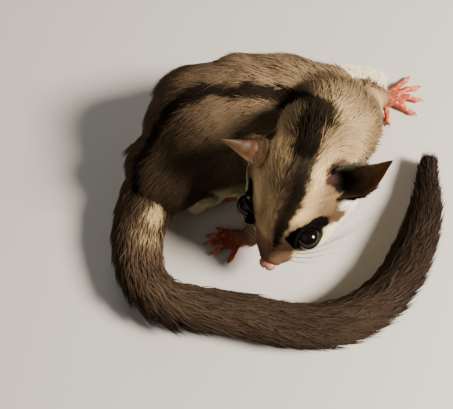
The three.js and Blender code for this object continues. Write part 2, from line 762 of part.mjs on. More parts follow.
const nodes = {
  head: [head, FUR_GREY],
  nose_pad: [nosePad, SKIN_PINK],
  eye_left: [eyes[0], EYE_BLACK],
  eye_right: [eyes[1], EYE_BLACK],
  ear_left: [ear(1), EAR_BROWN],
  ear_right: [ear(-1), EAR_BROWN],
  neck: [neck, FUR_GREY],
  chest: [chest, FUR_GREY],
  abdomen: [abdomen, FUR_GREY],
  hips: [hips, FUR_GREY],
  upper_arm_left: [armLeft.upper, FUR_GREY],
  forearm_left: [armLeft.lower, FUR_CREAM],
  upper_arm_right: [armRight.upper, FUR_GREY],
  forearm_right: [armRight.lower, FUR_GREY],
  thigh_left: [legLeft.upper, FUR_GREY],
  shin_left: [legLeft.lower, FUR_GREY],
  thigh_right: [legRight.upper, FUR_GREY],
  shin_right: [legRight.lower, FUR_GREY],
};
const pawCutters = { hand_left: armLeft, hand_right: armRight, foot_left: legLeft, foot_right: legRight };
const foldCutter = membrane(MEMBRANES.membrane_left, GAP);
for (const [name, shape] of Object.entries(PAWS))
  nodes[name] = [paw(shape, [...pawCutters[name].cutters, torsoCutter, foldCutter]), SKIN_PINK];
for (const [name, shape] of Object.entries(MEMBRANES))
  nodes[name] = [without(membrane(shape), membraneCutters), FUR_CREAM];
for (const [name, [from, to]] of Object.entries(TAIL_PARTS))
  nodes[name] = [without(tailPart(from, to), [torsoCutter, ...legRight.cutters]), FUR_DARK];

const glider = new THREE.Group();
for (const [name, [made, look]] of Object.entries(nodes)) {
  const mesh = largest(made.trimByPlane([0, 0, 1], 0)).getMesh();
  const geometry = new THREE.BufferGeometry();
  geometry.setAttribute("position", new THREE.BufferAttribute(mesh.vertProperties, 3));
  geometry.setIndex(new THREE.BufferAttribute(mesh.triVerts, 1));
  geometry.computeVertexNormals();
  const part = new THREE.Mesh(geometry, new THREE.MeshStandardMaterial(look));
  part.name = name;
  part.position.copy(ORIGIN_SHIFT);
  glider.add(part);
}
export default glider;
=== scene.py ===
import bpy
import numpy as np
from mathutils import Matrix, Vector


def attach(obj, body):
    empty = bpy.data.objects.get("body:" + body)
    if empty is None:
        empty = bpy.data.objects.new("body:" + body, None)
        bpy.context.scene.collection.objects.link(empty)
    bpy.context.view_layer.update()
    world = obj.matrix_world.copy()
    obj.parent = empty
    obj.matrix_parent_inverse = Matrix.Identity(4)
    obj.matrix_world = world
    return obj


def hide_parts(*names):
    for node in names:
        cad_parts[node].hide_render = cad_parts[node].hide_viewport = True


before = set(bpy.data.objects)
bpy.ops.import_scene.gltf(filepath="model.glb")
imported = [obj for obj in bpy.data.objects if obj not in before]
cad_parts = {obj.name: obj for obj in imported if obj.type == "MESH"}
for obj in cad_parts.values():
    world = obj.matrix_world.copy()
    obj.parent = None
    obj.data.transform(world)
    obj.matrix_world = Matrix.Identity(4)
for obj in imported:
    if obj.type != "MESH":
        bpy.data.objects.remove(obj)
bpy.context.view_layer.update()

MM = 0.001
SHIFT = np.array([-18.62, -11.87, 0.0])

# Driving dimensions, in millimetres

MUZZLE_REACH = 32.4
BRAINCASE = (13.8, 13.6, 11.6)
EYE_RADIUS = 3.7
EAR_LENGTH = 20.2
EAR_WIDTH = 11.4
TORSO_RADIUS = 21.5
TAIL_RADIUS = 8.4
TAIL_CORE_SHARE = 0.42
HEAD_ROLL = np.radians(11)
COAT_DEPTH = {"back": 2.6, "nape": 1.8, "head": 0.95, "muzzle": 0.3, "limb": 1.0, "wrist": 0.2}
FLOOR_GAP = 0.02  # the least height of a tuft over the floor

# The photo's camera, in the animal's own frame

CAMERA = np.array([0, -80.3, 197.2])
CAMERA_DOWN = np.radians(65)
PHOTO_SIZE = np.array([453, 409])
FOCAL_PIXELS = 636
CAMERA_CLEAR = 110.0  # nothing stands nearer to the camera than this
CREEP = 0.8  # how much of the distance to the skin is gone at each step towards it

rng = np.random.default_rng(11)


# Vectors


def vec(*xyz):
    return np.array(xyz, float)


def unit(v):
    v = np.asarray(v, float)
    return v / np.maximum(np.linalg.norm(v, axis=-1, keepdims=True), 1e-9)


def dot(a, b):
    return np.sum(a * b, axis=-1)


def ramp(x, low, high):
    t = np.clip((x - low) / (high - low), 0, 1)
    return t * t * (3 - 2 * t)


def mix(a, b, t):
    return a + (b - a) * t


def bell(x, width, power=2):
    """1 at nothing, falling away on either side."""
    return np.exp(-((x / width) ** power))


def across(v, normal):
    return unit(v - dot(v, normal)[..., None] * normal)


def beside(p, a, b):
    """How far along the line from a to b each place is, from 0 to 1, and its way out from there."""
    axis = b - a
    t = np.clip((p - a) @ axis / (axis @ axis), 0, 1)
    return t, p - a - t[..., None] * axis


def between(where, knots, points):
    """The places along a line of points, where its knots say how far along each point is."""
    return np.stack([np.interp(where, knots, column) for column in np.transpose(points)], axis=1)


# Implicit forms: the distance from each point to a surface, negative inside


def taper(p, a, radius_a, b, radius_b):
    t, off = beside(p, a, b)
    return np.linalg.norm(off, axis=-1) - (radius_a + (radius_b - radius_a) * t)


def egg(p, centre, radii):
    u = (p - centre) / radii
    k0 = np.linalg.norm(u, axis=-1)
    k1 = np.linalg.norm(u / radii, axis=-1)
    return k0 * (k0 - 1) / np.maximum(k1, 1e-9)


def melt(a, b, width):
    overlap = np.maximum(width - np.abs(a - b), 0) / width
    return np.minimum(a, b) - overlap * overlap * width / 4


def carve(a, b, width):
    return -melt(-a, -b, width)


def blend(width, distances):
    found = distances[0]
    for far in distances[1:]:
        found = melt(found, far, width)
    return found


def chain(p, joints, width):
    pairs = zip(joints, joints[1:])
    return blend(width, [taper(p, a, ra, b, rb) for (a, ra), (b, rb) in pairs])


def waves(p, size, seed, count=9):
    """Smooth noise from -1 to 1, its features about size across."""
    found = np.zeros(len(p))
    source = np.random.default_rng(seed)
    for _ in range(count):
        way = unit(source.normal(size=3)) * source.uniform(0.7, 1.6) * 2 * np.pi / (size * 2)
        found += np.sin(p @ way + source.uniform(0, 6.28))
    return found / np.sqrt(count)


# The head's own frame: x forward to the nose, y to the animal's left, z up through the crown

HEAD_CENTRE = vec(20.3, 2.8, 39.5)
HEAD_FORWARD = unit(vec(-0.316, -0.6315, -0.7077))
HEAD_LEAN = vec(0.9031, -0.4276, -0.0218)
HEAD_LEVEL = across(HEAD_LEAN, HEAD_FORWARD)
HEAD_LEFT = HEAD_LEVEL * np.cos(HEAD_ROLL) + np.cross(HEAD_FORWARD, HEAD_LEVEL) * np.sin(HEAD_ROLL)
HEAD_UP = np.cross(HEAD_FORWARD, HEAD_LEFT)
HEAD_AXES = np.array([HEAD_FORWARD, HEAD_LEFT, HEAD_UP])


def to_head(p):
    return (p - HEAD_CENTRE) @ HEAD_AXES.T


def from_head(p):
    return p @ HEAD_AXES + HEAD_CENTRE


NOSE = vec(MUZZLE_REACH - 2.2, 0, -5.6)
PAD = NOSE + vec(1.2, 0, 0.5)
PAD_RADII = vec(2.1, 2.5, 2.0)
EYE = vec(14.8, 9.4, 1.8)
EYE_LOOK = unit(vec(0.3, 0.8, 0.5))
EYE_FRONT = across(vec(0.86, -0.2, -0.1), EYE_LOOK)  # towards the inner corner
EYE_TOP = np.cross(EYE_FRONT, EYE_LOOK)
LID_LOOK = unit(vec(0.12, 0.72, 0.66))  # the middle of the opening between the lids
LID_OPEN = (1.28, 1.12)  # half the opening as angles, along and across it
MOUTH_X = (16, 20, 24, 27.4, 29.6)
MOUTH_Z = (-8.9, -9.2, -8.7, -8.2, -8.0)


def folded(q):
    return np.concatenate([q[..., :1], np.abs(q[..., 1:2]), q[..., 2:]], axis=-1)


def head_forms(q):
    s = folded(q)
    forms = blend(4.5, [
        egg(s, vec(0, 0, 0), vec(*BRAINCASE)),
        egg(s, vec(3.5, 9, -4.5), vec(9.8, 8.2, 7)),
        egg(s, vec(13.5, 6.8, -5), vec(8.8, 7.4, 4.7)),
        egg(s, vec(10, 0, 2.2), vec(10, 8.6, 7)),
        taper(s, vec(8, 0, -3), 8.8, vec(18, 0, -4), 6),
        taper(s, vec(17, 0, -4), 6, NOSE, 2.8),
        egg(s, vec(23.5, 2.8, -6.6), vec(5.8, 4.2, 3)),
        taper(s, vec(2, 0, -9), 6.5, vec(26, 0, -9), 2.1),
    ])
    swell = egg(s, EYE - 1.9 * EYE_LOOK, vec(6.2, 4.4, 5.4))
    return melt(forms, swell, 2)


def lid_opening(s):
    """Negative inside the cone from the middle of the eye through the opening of its lids."""
    r = s - EYE
    ahead = r @ LID_LOOK
    reach = np.linalg.norm(r, axis=-1)
    off = np.arccos(np.clip(ahead / np.maximum(reach, 1e-6), -1, 1))
    along = r @ EYE_FRONT
    high = r @ EYE_TOP
    turn = np.arctan2(high, along)
    wide, tall = LID_OPEN
    corner = 1 + 0.1 * np.cos(turn) ** 8
    limit = corner * wide * tall / np.hypot(tall * np.cos(turn), wide * np.sin(turn))
    return (off - limit) * np.minimum(reach, 6)


def face_field(q):
    """The skin of the head, inside its coat, with lids, the line of the mouth and the nose's seat."""
    s = folded(q)
    depth = mix(COAT_DEPTH["head"], COAT_DEPTH["muzzle"], ramp(q[..., 0], 4, 21))
    away = np.linalg.norm(s - EYE, axis=-1)
    depth = depth * ramp(away, 4, 8)
    found = head_forms(q) + depth
    shell = away - (EYE_RADIUS + 0.55)
    found = melt(found, shell, 0.9)
    crease = bell(away - 5.3, 0.45) * ramp(lid_opening(s), -0.4, 1.2)
    found = found + 0.28 * crease * (s[..., 2] > 0)
    found = carve(found, -lid_opening(s), 0.35)
    line = np.interp(q[..., 0], MOUTH_X, MOUTH_Z)
    within = ramp(q[..., 0], 15, 17) * (1 - ramp(q[..., 0], 29.4, 30.6))
    found = found + 0.75 * within * bell(q[..., 2] - line, 0.42)
    philtrum = bell(s[..., 1], 0.4) * ramp(q[..., 0], 27, 30) * ramp(-q[..., 2], 5.5, 7)
    found = found + 0.5 * philtrum
    return carve(found, -egg(q, PAD, PAD_RADII + 0.05), 0.3)


def nostril(s):
    return egg(s, PAD + vec(1.9, 1.35, -0.15), vec(0.95, 0.52, 0.58))


def nose_field(q):
    """The bare nose pad, with its two comma-shaped nostrils and the groove between them."""
    s = folded(q)
    found = egg(q, PAD, PAD_RADII)
    found = melt(found, egg(s, PAD + vec(0.7, 1.1, 0.1), vec(1.2, 1.3, 1.3)), 1.2)
    slit = taper(s, PAD + vec(1.5, 1.7, 0.1), 0.3, PAD + vec(0.3, 2.7, 0.3), 0.12)
    found = carve(found, -melt(nostril(s), slit, 0.4), 0.2)
    return found + 0.32 * bell(s[..., 1], 0.26) * ramp(q[..., 0], PAD[0], PAD[0] + 1.5)


# The trunk, as round stations along the spine: place and radius out to the tips of the coat

SPINE = [
    (vec(25, 10.5, 43), 12.5),
    (vec(31, 21, 34), 14.8),
    (vec(28.6, 29, 26), 17.4),
    (vec(19, 32.3, 22.4), 20.3),
    (vec(7, 32.2, 21.1), TORSO_RADIUS),
    (vec(-5.5, 29.8, 20.8), 21),
    (vec(-18, 17.9, 14.6), 15),
    (vec(-24, 11.1, 10.9), 10.6),
    (vec(-27.6, 2.2, 9.2), 8.6),
]
SPINE_DEPTH = np.interp(range(9), [0, 2, 8], [COAT_DEPTH["nape"], COAT_DEPTH["back"], COAT_DEPTH["back"]])
TRUNK = [(place, radius - d) for (place, radius), d in zip(SPINE, SPINE_DEPTH)]

# Limbs: joints from the shoulder or hip to the wrist or ankle, with radii

LIMBS = {
    "arm_left": [
        (vec(37, 27, 27), 11.6), (vec(42, 35, 18), 9.5),
        (vec(48.5, 45.5, 10), 5.6), (vec(55, 51.5, 5.2), 2.9),
    ],
    "arm_right": [
        (vec(22, 16, 22), 10), (vec(18, 6, 15), 7),
        (vec(12.5, 0, 8.5), 4.6), (vec(7.8, -1.6, 4.6), 2.8),
    ],
    "leg_left": [
        (vec(-8, 30, 17), 13.5), (vec(-14, 35, 11), 10.5),
        (vec(-23, 31, 6), 5), (vec(-26, 27.5, 4.4), 3.4),
    ],
    "leg_right": [
        (vec(-6, 22, 15), 12.5), (vec(2, 19, 10), 8.5),
        (vec(-5, 14.5, 7), 5.1), (vec(-9.4, 11.2, 4.7), 3.6),
    ],
}
LIMB_DEPTH = (COAT_DEPTH["back"], 1.6, COAT_DEPTH["limb"], COAT_DEPTH["wrist"])
LIMB_FLESH = {
    name: [(place, radius - d) for (place, radius), d in zip(joints, LIMB_DEPTH)]
    for name, joints in LIMBS.items()
}

# Hands and feet: a palm and digits, each from its root to the tip of its claw

PAWS = {
    "hand_left": {
        "wrist": vec(55, 51.5, 4.6), "knuckles": vec(63.4, 55.2, 1.6), "width": 8.6,
        "digits": [
            (vec(62.5, 57.8, 1.8), vec(69.2, 64.4, 0)), (vec(64.5, 56.6, 1.8), vec(72.6, 59.8, 0)),
            (vec(64.5, 54.4, 1.8), vec(72.4, 53.4, 0)), (vec(61.5, 51.6, 1.8), vec(69.6, 47, 0)),
            (vec(57.8, 49.8, 2), vec(58.8, 42.4, 0)),
        ],
    },
    "hand_right": {
        "wrist": vec(7.8, -1.6, 4.4), "knuckles": vec(0.6, -2, 1.6), "width": 7.2,
        "digits": [
            (vec(2, -0.2, 1.8), vec(-3.4, 2.4, 0)), (vec(0.6, -0.8, 1.8), vec(-6.9, -0.3, 0)),
            (vec(0.1, -2.2, 1.8), vec(-7.6, -3.3, 0)), (vec(0.6, -3.6, 1.8), vec(-5.4, -6.8, 0)),
            (vec(3.4, -4.6, 2), vec(0.6, -9.8, 0)),
        ],
    },
    "foot_left": {
        "wrist": vec(-26.2, 27, 3.8), "knuckles": vec(-20.5, 38, 1.6), "width": 7.4,
        "digits": [
            (vec(-22.4, 32, 1.8), vec(-28.9, 35.5, 0)), (vec(-23, 36.6, 1.8), vec(-24.5, 44.6, 0)),
            (vec(-21.6, 38.2, 1.8), vec(-20.5, 46.6, 0)), (vec(-19.6, 38.2, 1.8), vec(-16.2, 46, 0)),
            (vec(-18.2, 37, 1.8), vec(-12.4, 43.6, 0)),
        ],
    },
    "foot_right": {
        "wrist": vec(-9.9, 11, 3.8), "knuckles": vec(1, 16, 1.6), "width": 7.4,
        "digits": [
            (vec(-4.2, 14.8, 1.8), vec(-0.2, 19.8, 0)), (vec(0.6, 13.3, 1.8), vec(8, 13.8, 0)),
            (vec(1.8, 14.7, 1.8), vec(10.2, 16.6, 0)), (vec(1.8, 16.4, 1.8), vec(10, 19.4, 0)),
            (vec(0.8, 17.6, 1.8), vec(8, 21.8, 0)),
        ],
    },
}


def spread(points, count):
    """That many places, evenly spaced along a smooth curve through the points."""
    points = np.asarray(points, float)
    knots = np.concatenate([[0], np.cumsum(np.linalg.norm(np.diff(points, axis=0), axis=1) ** 0.5)])
    fine = np.linspace(0, knots[-1], 400)
    slopes = np.gradient(points, knots, axis=0)
    k = np.clip(np.searchsorted(knots, fine, side="right") - 1, 0, len(points) - 2)
    h = (knots[k + 1] - knots[k])[:, None]
    t = (fine - knots[k])[:, None] / h
    curve = (
        (2 * t**3 - 3 * t**2 + 1) * points[k]
        + (t**3 - 2 * t**2 + t) * h * slopes[k]
        + (3 * t**2 - 2 * t**3) * points[k + 1]
        + (t**3 - t**2) * h * slopes[k + 1]
    )
    reach = np.concatenate([[0], np.cumsum(np.linalg.norm(np.diff(curve, axis=0), axis=1))])
    return between(np.linspace(0, reach[-1], count), reach, curve)


def digit_line(start, tip):
    root = mix(start, tip, -0.3)
    root[2] = start[2]
    reach = tip - root
    points = [root]
    for share, height in ((0.4, 2.4), (0.75, 0.95), (0.89, 1.15)):
        place = root + reach * share
        place[2] = height
        points.append(place)
    points.append(vec(tip[0], tip[1], 0.1))
    return spread(points, 21)


DIGITS = {name: [digit_line(*ends) for ends in paw["digits"]] for name, paw in PAWS.items()}


def paw_field(p, name):
    paw = PAWS[name]
    wrist, knuckles = paw["wrist"], paw["knuckles"]
    middle = mix(wrist, knuckles, 0.5)
    middle[2] = 2.5
    side = unit(np.cross(knuckles - wrist, vec(0, 0, 1)))
    half = paw["width"] / 2
    forms = []
    for off in (-0.62, -0.2, 0.2, 0.62):
        low = knuckles + side * off * half
        forms.append(taper(p, middle + side * off * half * 0.6, 1.55, low, 1.25))
    forms.append(taper(p, wrist, 2.5, middle, 1.9))
    flesh = blend(1.2, forms)
    for line in DIGITS[name]:
        joints = [
            (line[0], 1.0), (line[6], 0.88), (line[9], 0.98), (line[12], 0.82),
            (line[15], 0.98), (line[17], 0.72),
        ]
        flesh = melt(flesh, chain(p, joints, 0.3), 0.5)
    return np.maximum(flesh, 0.06 - p[..., 2])


# The gliding membrane, drawn up in folds along each flank from the wrist to the knee

MEMBRANES = {
    "membrane_left": {
        "root": [
            (54, 51, 5.6), (50, 49, 8.5), (44, 45, 12), (37, 44, 14), (28, 46.5, 14),
            (16, 48.5, 13), (4, 48, 12), (-8, 43, 12), (-15, 36.5, 11),
        ],
        "free": [
            (58.4, 58.2, 5), (55.5, 61, 6), (50, 61.6, 7.6), (42, 60.6, 9.4), (31, 58, 8),
            (17, 57, 6.4), (3, 56, 5.8), (-10, 50.5, 5.8), (-21, 41, 6),
        ],
        "ribs": 24,
    },
    "membrane_right": {
        "root": [
            (14, 5, 8), (13, 11, 11), (10, 15, 12.5), (6, 17.5, 12.5), (1, 19, 12), (-4, 19, 10),
        ],
        "free": [
            (11, 2.5, 6), (8, 6.5, 6.6), (5, 10, 7), (1.6, 12.6, 7.4), (-2, 13.6, 7),
            (-6, 13.4, 6.2),
        ],
        "ribs": 9,
    },
}
FRINGE_DEPTH = 1.6  # what the coat adds past the membrane's free edge


def membrane_ribs(name):
    shape = MEMBRANES[name]
    held = spread(shape["root"], shape["ribs"])
    free = spread(shape["free"], shape["ribs"])
    share = np.linspace(0, 1, shape["ribs"])
    wave = np.sin(share * 40) * np.sin(np.pi * share)
    free = free + vec(0, 0, 0.9) * wave[:, None]
    reach = np.linalg.norm(free - held, axis=1, keepdims=True)
    return held, held + (free - held) * np.maximum(1 - FRINGE_DEPTH / np.maximum(reach, 1), 0.4)


RIBS = {name: membrane_ribs(name) for name in MEMBRANES}


def membrane_field(p, name):
    held, free = RIBS[name]
    return blend(1.8, [taper(p, a, 1.1, b, 0.45) for a, b in zip(held, free)])


# The tail, from the rump round in front of the face

TAIL_POINTS = [
    (-26.6, 5, 10), (-28, -2, 9.2), (-27.8, -9.6, 8.4), (-25.2, -17.8, 8.2), (-19.4, -23.3, 8),
    (-10.4, -26.2, 8), (0.6, -28.4, 8), (13, -31, 8), (26, -32, 8), (38.4, -29, 8), (49.6, -21, 8),
    (58.2, -9, 7.6), (64, 4, 6.8), (67.4, 17, 6),
]
TAIL_SWELL = (1.1, 1.08, 1.04, 1, 1, 1, 1, 0.98, 0.95, 0.88, 0.78, 0.6)
TAIL_STOPS = 61
TAIL_LINE = spread(TAIL_POINTS, TAIL_STOPS)
TAIL_SHARE = np.linspace(0, 1, TAIL_STOPS)
TAIL_GIRTH = TAIL_RADIUS * np.interp(TAIL_SHARE, np.linspace(0, 1, 12), TAIL_SWELL)
TAIL_LENGTH = float(np.sum(np.linalg.norm(np.diff(TAIL_LINE, axis=0), axis=1)))
TAIL_CORE = TAIL_GIRTH * np.interp(TAIL_SHARE, (0, 0.16), (0.8, TAIL_CORE_SHARE))


def tail_field(p):
    joints = [(TAIL_LINE[n], TAIL_CORE[n]) for n in range(0, TAIL_STOPS - 2, 3)]
    return chain(p, joints, 1)


# The animal's forms as groups, each measured only near where it is

FAR = 30.0  # what stands for the distance where a group isn't measured


def box_of(points, margin):
    points = np.asarray(points)
    return points.min(axis=0) - margin, points.max(axis=0) + margin


def near(p, box, measure):
    low, high = box
    inside = np.all((p > low) & (p < high), axis=-1)
    found = np.full(p.shape[:-1], FAR)
    if inside.any():
        found[inside] = measure(p[inside])
    return found


def limb_group(name):
    joints = LIMB_FLESH[name]
    return box_of([place for place, _ in joints], 19), lambda p: chain(p, joints, 2)


def paw_group(name):
    lines = np.concatenate(DIGITS[name] + [[PAWS[name]["wrist"]]])
    return box_of(lines, 6), lambda p: paw_field(p, name)


def membrane_group(name):
    return box_of(np.concatenate(RIBS[name]), 6), lambda p: membrane_field(p, name)


GROUPS = {
    "head": (box_of([HEAD_CENTRE], 42), lambda p: face_field(to_head(p))),
    "trunk": (box_of([place for place, _ in SPINE], 45), lambda p: chain(p, TRUNK, 3)),
    **{name: limb_group(name) for name in LIMBS},
    **{name: paw_group(name) for name in PAWS},
    **{name: membrane_group(name) for name in MEMBRANES},
    "tail": (box_of(TAIL_LINE, 14), tail_field),
}
MELTS = {"head": 3, "trunk": 3, "tail": 3, **{n: 2.4 for n in LIMBS}, **{n: 0.9 for n in PAWS},
         **{n: 2 for n in MEMBRANES}}


def distances(p):
    return {name: near(p, box, measure) for name, (box, measure) in GROUPS.items()}


def skin_field(p):
    found = np.full(p.shape[:-1], FAR)
    for name, (box, measure) in GROUPS.items():
        if name == "head":
            continue
        found = melt(found, near(p, box, measure), MELTS[name])
    head = near(p, *GROUPS["head"])
    q = to_head(p)
    # The face keeps its own edges: only behind the eyes does it melt into the neck
    soft = melt(found, head, MELTS["head"])
    hard = np.minimum(found, head)
    return np.maximum(mix(soft, hard, ramp(q[..., 0], 2, 8)), 0.12 - p[..., 2])


def seen_at(pixels, above):
    """The first places that the camera sees at those pixels of the photo, that far over the skin."""
    right, down = (np.array(pixels) - PHOTO_SIZE / 2).T[..., None] / FOCAL_PIXELS
    ahead = vec(0, np.cos(CAMERA_DOWN), -np.sin(CAMERA_DOWN))
    upward = vec(0, np.sin(CAMERA_DOWN), np.cos(CAMERA_DOWN))
    ray = unit(ahead + right * vec(1, 0, 0) - down * upward)
    reach = np.full((len(ray), 1), CAMERA_CLEAR)
    for _ in range(80):
        reach = reach + CREEP * (skin_field(CAMERA + reach * ray) - above)[:, None]
    return CAMERA + reach * ray


# A surface where a field is zero, with one vertex in each grid cell that it crosses

CORNERS = [(i, j, k) for i in (0, 1) for j in (0, 1) for k in (0, 1)]
AT_ONCE = 250000  # places measured at a time


def surface(field, low, high, step, to_world=None, keep=None):
    counts = np.ceil((np.asarray(high) - low) / step).astype(int) + 1
    axes = [low[n] + step * np.arange(counts[n]) for n in range(3)]
    grid = np.stack(np.meshgrid(*axes, indexing="ij"), axis=-1).reshape(-1, 3)
    value = np.empty(len(grid))
    for begin in range(0, len(grid), AT_ONCE):
        part = grid[begin:begin + AT_ONCE]
        value[begin:begin + AT_ONCE] = field(part if to_world is None else to_world(part))
    value = value.reshape(counts)
    value = np.where(value == 0, 1e-6, value)
    border = np.ones(counts, bool)
    border[1:-1, 1:-1, 1:-1] = False
    if keep is None:
        value[border] = np.maximum(value[border], step * 0.01)
    inside = value < 0
    nx, ny, nz = counts
    corners = [inside[i:nx - 1 + i, j:ny - 1 + j, k:nz - 1 + k] for i, j, k in CORNERS]
    total = sum(corner.astype(np.int8) for corner in corners)
    active = (total > 0) & (total < 8)
    cells = np.argwhere(active)
    number = np.full(active.shape, -1)
    number[active] = np.arange(len(cells))
    sums = np.zeros((len(cells), 3))
    hits = np.zeros(len(cells))
    for a in CORNERS:
        for axis in range(3):
            if a[axis]:
                continue
            b = list(a)
            b[axis] = 1
            va = value[tuple((cells + a).T)]
            vb = value[tuple((cells + b).T)]
            cross = (va < 0) != (vb < 0)
            t = np.where(cross, va / np.where(cross, va - vb, 1), 0)
            place = np.array(a, float) + t[:, None] * (np.array(b) - np.array(a))
            sums += np.where(cross[:, None], place, 0)
            hits += cross
    verts = (sums / hits[:, None] + cells) * step + low
    quads = []
    for axis in range(3):
        first = [slice(None)] * 3
        second = [slice(None)] * 3
        first[axis] = slice(0, -1)
        second[axis] = slice(1, None)
        change = inside[tuple(first)] != inside[tuple(second)]
        u, w = [n for n in range(3) if n != axis]
        edges = np.argwhere(change)
        bound = (edges[:, u] > 0) & (edges[:, w] > 0)
        bound &= (edges[:, u] < counts[u] - 1) & (edges[:, w] < counts[w] - 1)
        edges = edges[bound]
        ring = []
        for du, dw in ((1, 1), (0, 1), (0, 0), (1, 0)):
            at = edges.copy()
            at[:, u] -= du
            at[:, w] -= dw
            ring.append(number[tuple(at.T)])
        ring = np.stack(ring, axis=1)
        out = inside[tuple(edges.T)]
        flip = out if axis == 1 else ~out
        ring[flip] = ring[flip][:, ::-1]
        quads.append(ring)
    quads = np.concatenate(quads)
    if to_world is not None:
        verts = to_world(verts)
    if keep is not None:
        centre = verts[quads].mean(axis=1)
        quads = quads[keep(centre)]
        used = np.unique(quads)
        renumber = np.full(len(verts), -1)
        renumber[used] = np.arange(len(used))
        verts, quads = verts[used], renumber[quads]
    return verts, quads


def slope(field, p, small=0.15):
    parts = []
    for axis in range(3):
        off = np.zeros(3)
        off[axis] = small
        parts.append(field(p + off) - field(p - off))
    return unit(np.stack(parts, axis=-1))


# Markings, and some painted shade, as smooth masks over the animal; colours are linear

GREY_BROWN = vec(0.245, 0.16, 0.08)
LIGHT_BAND = vec(0.8, 0.55, 0.28)
DARK_BROWN = vec(0.13, 0.078, 0.042)
NEAR_BLACK = vec(0.005, 0.0035, 0.003)
STRIPE_BROWN = vec(0.06, 0.036, 0.022)
CREAM = vec(0.88, 0.77, 0.47)
WHITE = vec(0.97, 0.93, 0.72)
MUZZLE_BROWN = vec(0.26, 0.145, 0.085)
ARM_BROWN = vec(0.41, 0.29, 0.16)
# The tail's browns: its own dark coat, made darker still as painted shade
TAIL_BROWN = vec(0.045, 0.03, 0.02)
TAIL_DARK = vec(0.026, 0.017, 0.012)
PINK = vec(0.55, 0.09, 0.05)
PINK_PALE = vec(0.85, 0.33, 0.21)
EAR_SKIN = vec(0.055, 0.026, 0.022)
# The colour of the painted shade in the hollow of each ear's cup
HOLLOW_SHADE = vec(0.012, 0.007, 0.006)

# The back darkens from the nape to the rump: partly its own darker brown, partly painted shade towards
# the rump
BACK_ALONG = (0, 1, 2.2, 3.6, 5, 6.5)
BACK_BROWNS = [(0.34, 0.235, 0.125), (0.19, 0.13, 0.07), (0.3, 0.205, 0.115), (0.23, 0.152, 0.088),
               (0.1, 0.065, 0.039), (0.075, 0.048, 0.03)]

PATCH_ALONG = unit(vec(0.73, -0.62, 0.26))  # of the dark patch round the eye, to its inner corner
PATCH_UP = np.cross(PATCH_ALONG, EYE_LOOK)
STRIPE_X = (-24, -14, -11.5, -5.5, 0, 4.6, 11, 14.5, 18, 24, 28)
STRIPE_Y = (-2, 0, 0.5, 2.2, 2.8, 3.0, 2.9, 2.9, 2.3, 1.2, 0.5)
STRIPE_HALF = (1.8, 2.3, 2.8, 3.0, 3.0, 2.9, 2.4, 1.9, 1.4, 0.7, 0.2)
BAND_X = (-20, -10, 4, 11, 17)
BAND_Y = (-8, -6.9, -3.9, -1.5, -1.3)
UNDER_X = (-6, 2, 5, 8.3, 11, 13, 15, 18.3, 20.5, 23, 26, 31)
UNDER_Z = (-7.2, -5, -1.9, -2.1, -0.1, 0.8, 1.3, 1.4, 0.0, -2.5, -4.4, -7)
DORSAL_HALF = (2.8, 3.0, 3.2, 3.0, 2.8, 2.3, 2.1, 2.0, 1.9, 1.8, 1.7, 1.6, 1.5)
# The stripe of the back in the photo, from the nape to the rump, and the coat's depth over the skin there
DORSAL_PIXELS = [
    (318, 120), (314, 106), (303, 96), (290, 92), (255, 86), (215, 84), (198, 91), (182, 99),
    (168, 113), (160, 125), (147, 158), (136, 191)]
DORSAL_COAT = 2.2
FLAT = vec(1, 1, 0)
CROWN = from_head(vec(-8, 1.5, 10))
DORSAL_LINE = np.vstack([CROWN, seen_at(DORSAL_PIXELS, DORSAL_COAT)]) * FLAT
RUMP_SPOT = vec(-21.5, 3, 16.8)
RUMP_RADII = vec(3.4, 2.8, 3.8)
RUMP_CREAM = vec(0.52, 0.38, 0.19)
RUMP_TRAIL = vec(-24.6, -2, 14.6)


def along_line(p, line):
    """How far each place is from a line of points, and where along it, in points."""
    best = np.full(len(p), np.inf)
    where = np.zeros(len(p))
    for n, (a, b) in enumerate(zip(line, line[1:])):
        t, off = beside(p, a, b)
        far = np.linalg.norm(off, axis=1)
        where = np.where(far < best, n + t, where)
        best = np.minimum(best, far)
    return best, where


def on_spine(p):
    """Along the spine from 0 to 8, the turn about it from its top towards the left flank, the way."""
    best = np.full(len(p), np.inf)
    along = np.zeros(len(p))
    turn = np.zeros(len(p))
    weight = np.zeros(len(p))
    way = np.zeros((len(p), 3))
    for n, ((a, ra), (b, rb)) in enumerate(zip(SPINE, SPINE[1:])):
        t, off = beside(p, a, b)
        far = np.linalg.norm(off, axis=1) - mix(ra, rb, t)
        side = unit(np.cross(b - a, vec(0, 0, 1)))
        top = np.cross(side, unit(b - a))
        nearer = far < best
        best = np.where(nearer, far, best)
        along = np.where(nearer, n + t, along)
        turn = np.where(nearer, np.arctan2(off @ side, off @ top), turn)
        share = np.exp(-far / 3)
        weight += share
        way += share[:, None] * unit(b - a)
    return along, turn, way / weight[:, None]


def on_tail(p):
    nearest = np.argmin(np.linalg.norm(p[:, None] - TAIL_LINE[None, ::2], axis=2), axis=1) * 2
    before = np.clip(nearest - 1, 0, TAIL_STOPS - 1)
    after = np.clip(nearest + 1, 0, TAIL_STOPS - 1)
    way = unit(TAIL_LINE[after] - TAIL_LINE[before])
    off = p - TAIL_LINE[nearest]
    share = np.clip(nearest / (TAIL_STOPS - 1) + dot(off, way) / TAIL_LENGTH, 0, 1)
    side = unit(np.cross(way, vec(0, 0, 1)))
    turn = np.arctan2(dot(off, side), dot(off, np.cross(side, way)))
    return share, turn, way


def by_ear(q):
    """The bare skin in front of each ear, and the hollow inside its cup."""
    x, y, z = q[:, 0], np.abs(q[:, 1]), q[:, 2]
    before = bell(x + 4.4, 4, 4) * bell(z - 5, 2.8, 4) * ramp(y, 7.6, 9.2)
    hollow = bell(x + 3.6, 4, 4) * bell(z - 1.8, 3, 4) * ramp(y, 10.4, 11.6)
    return before, hollow


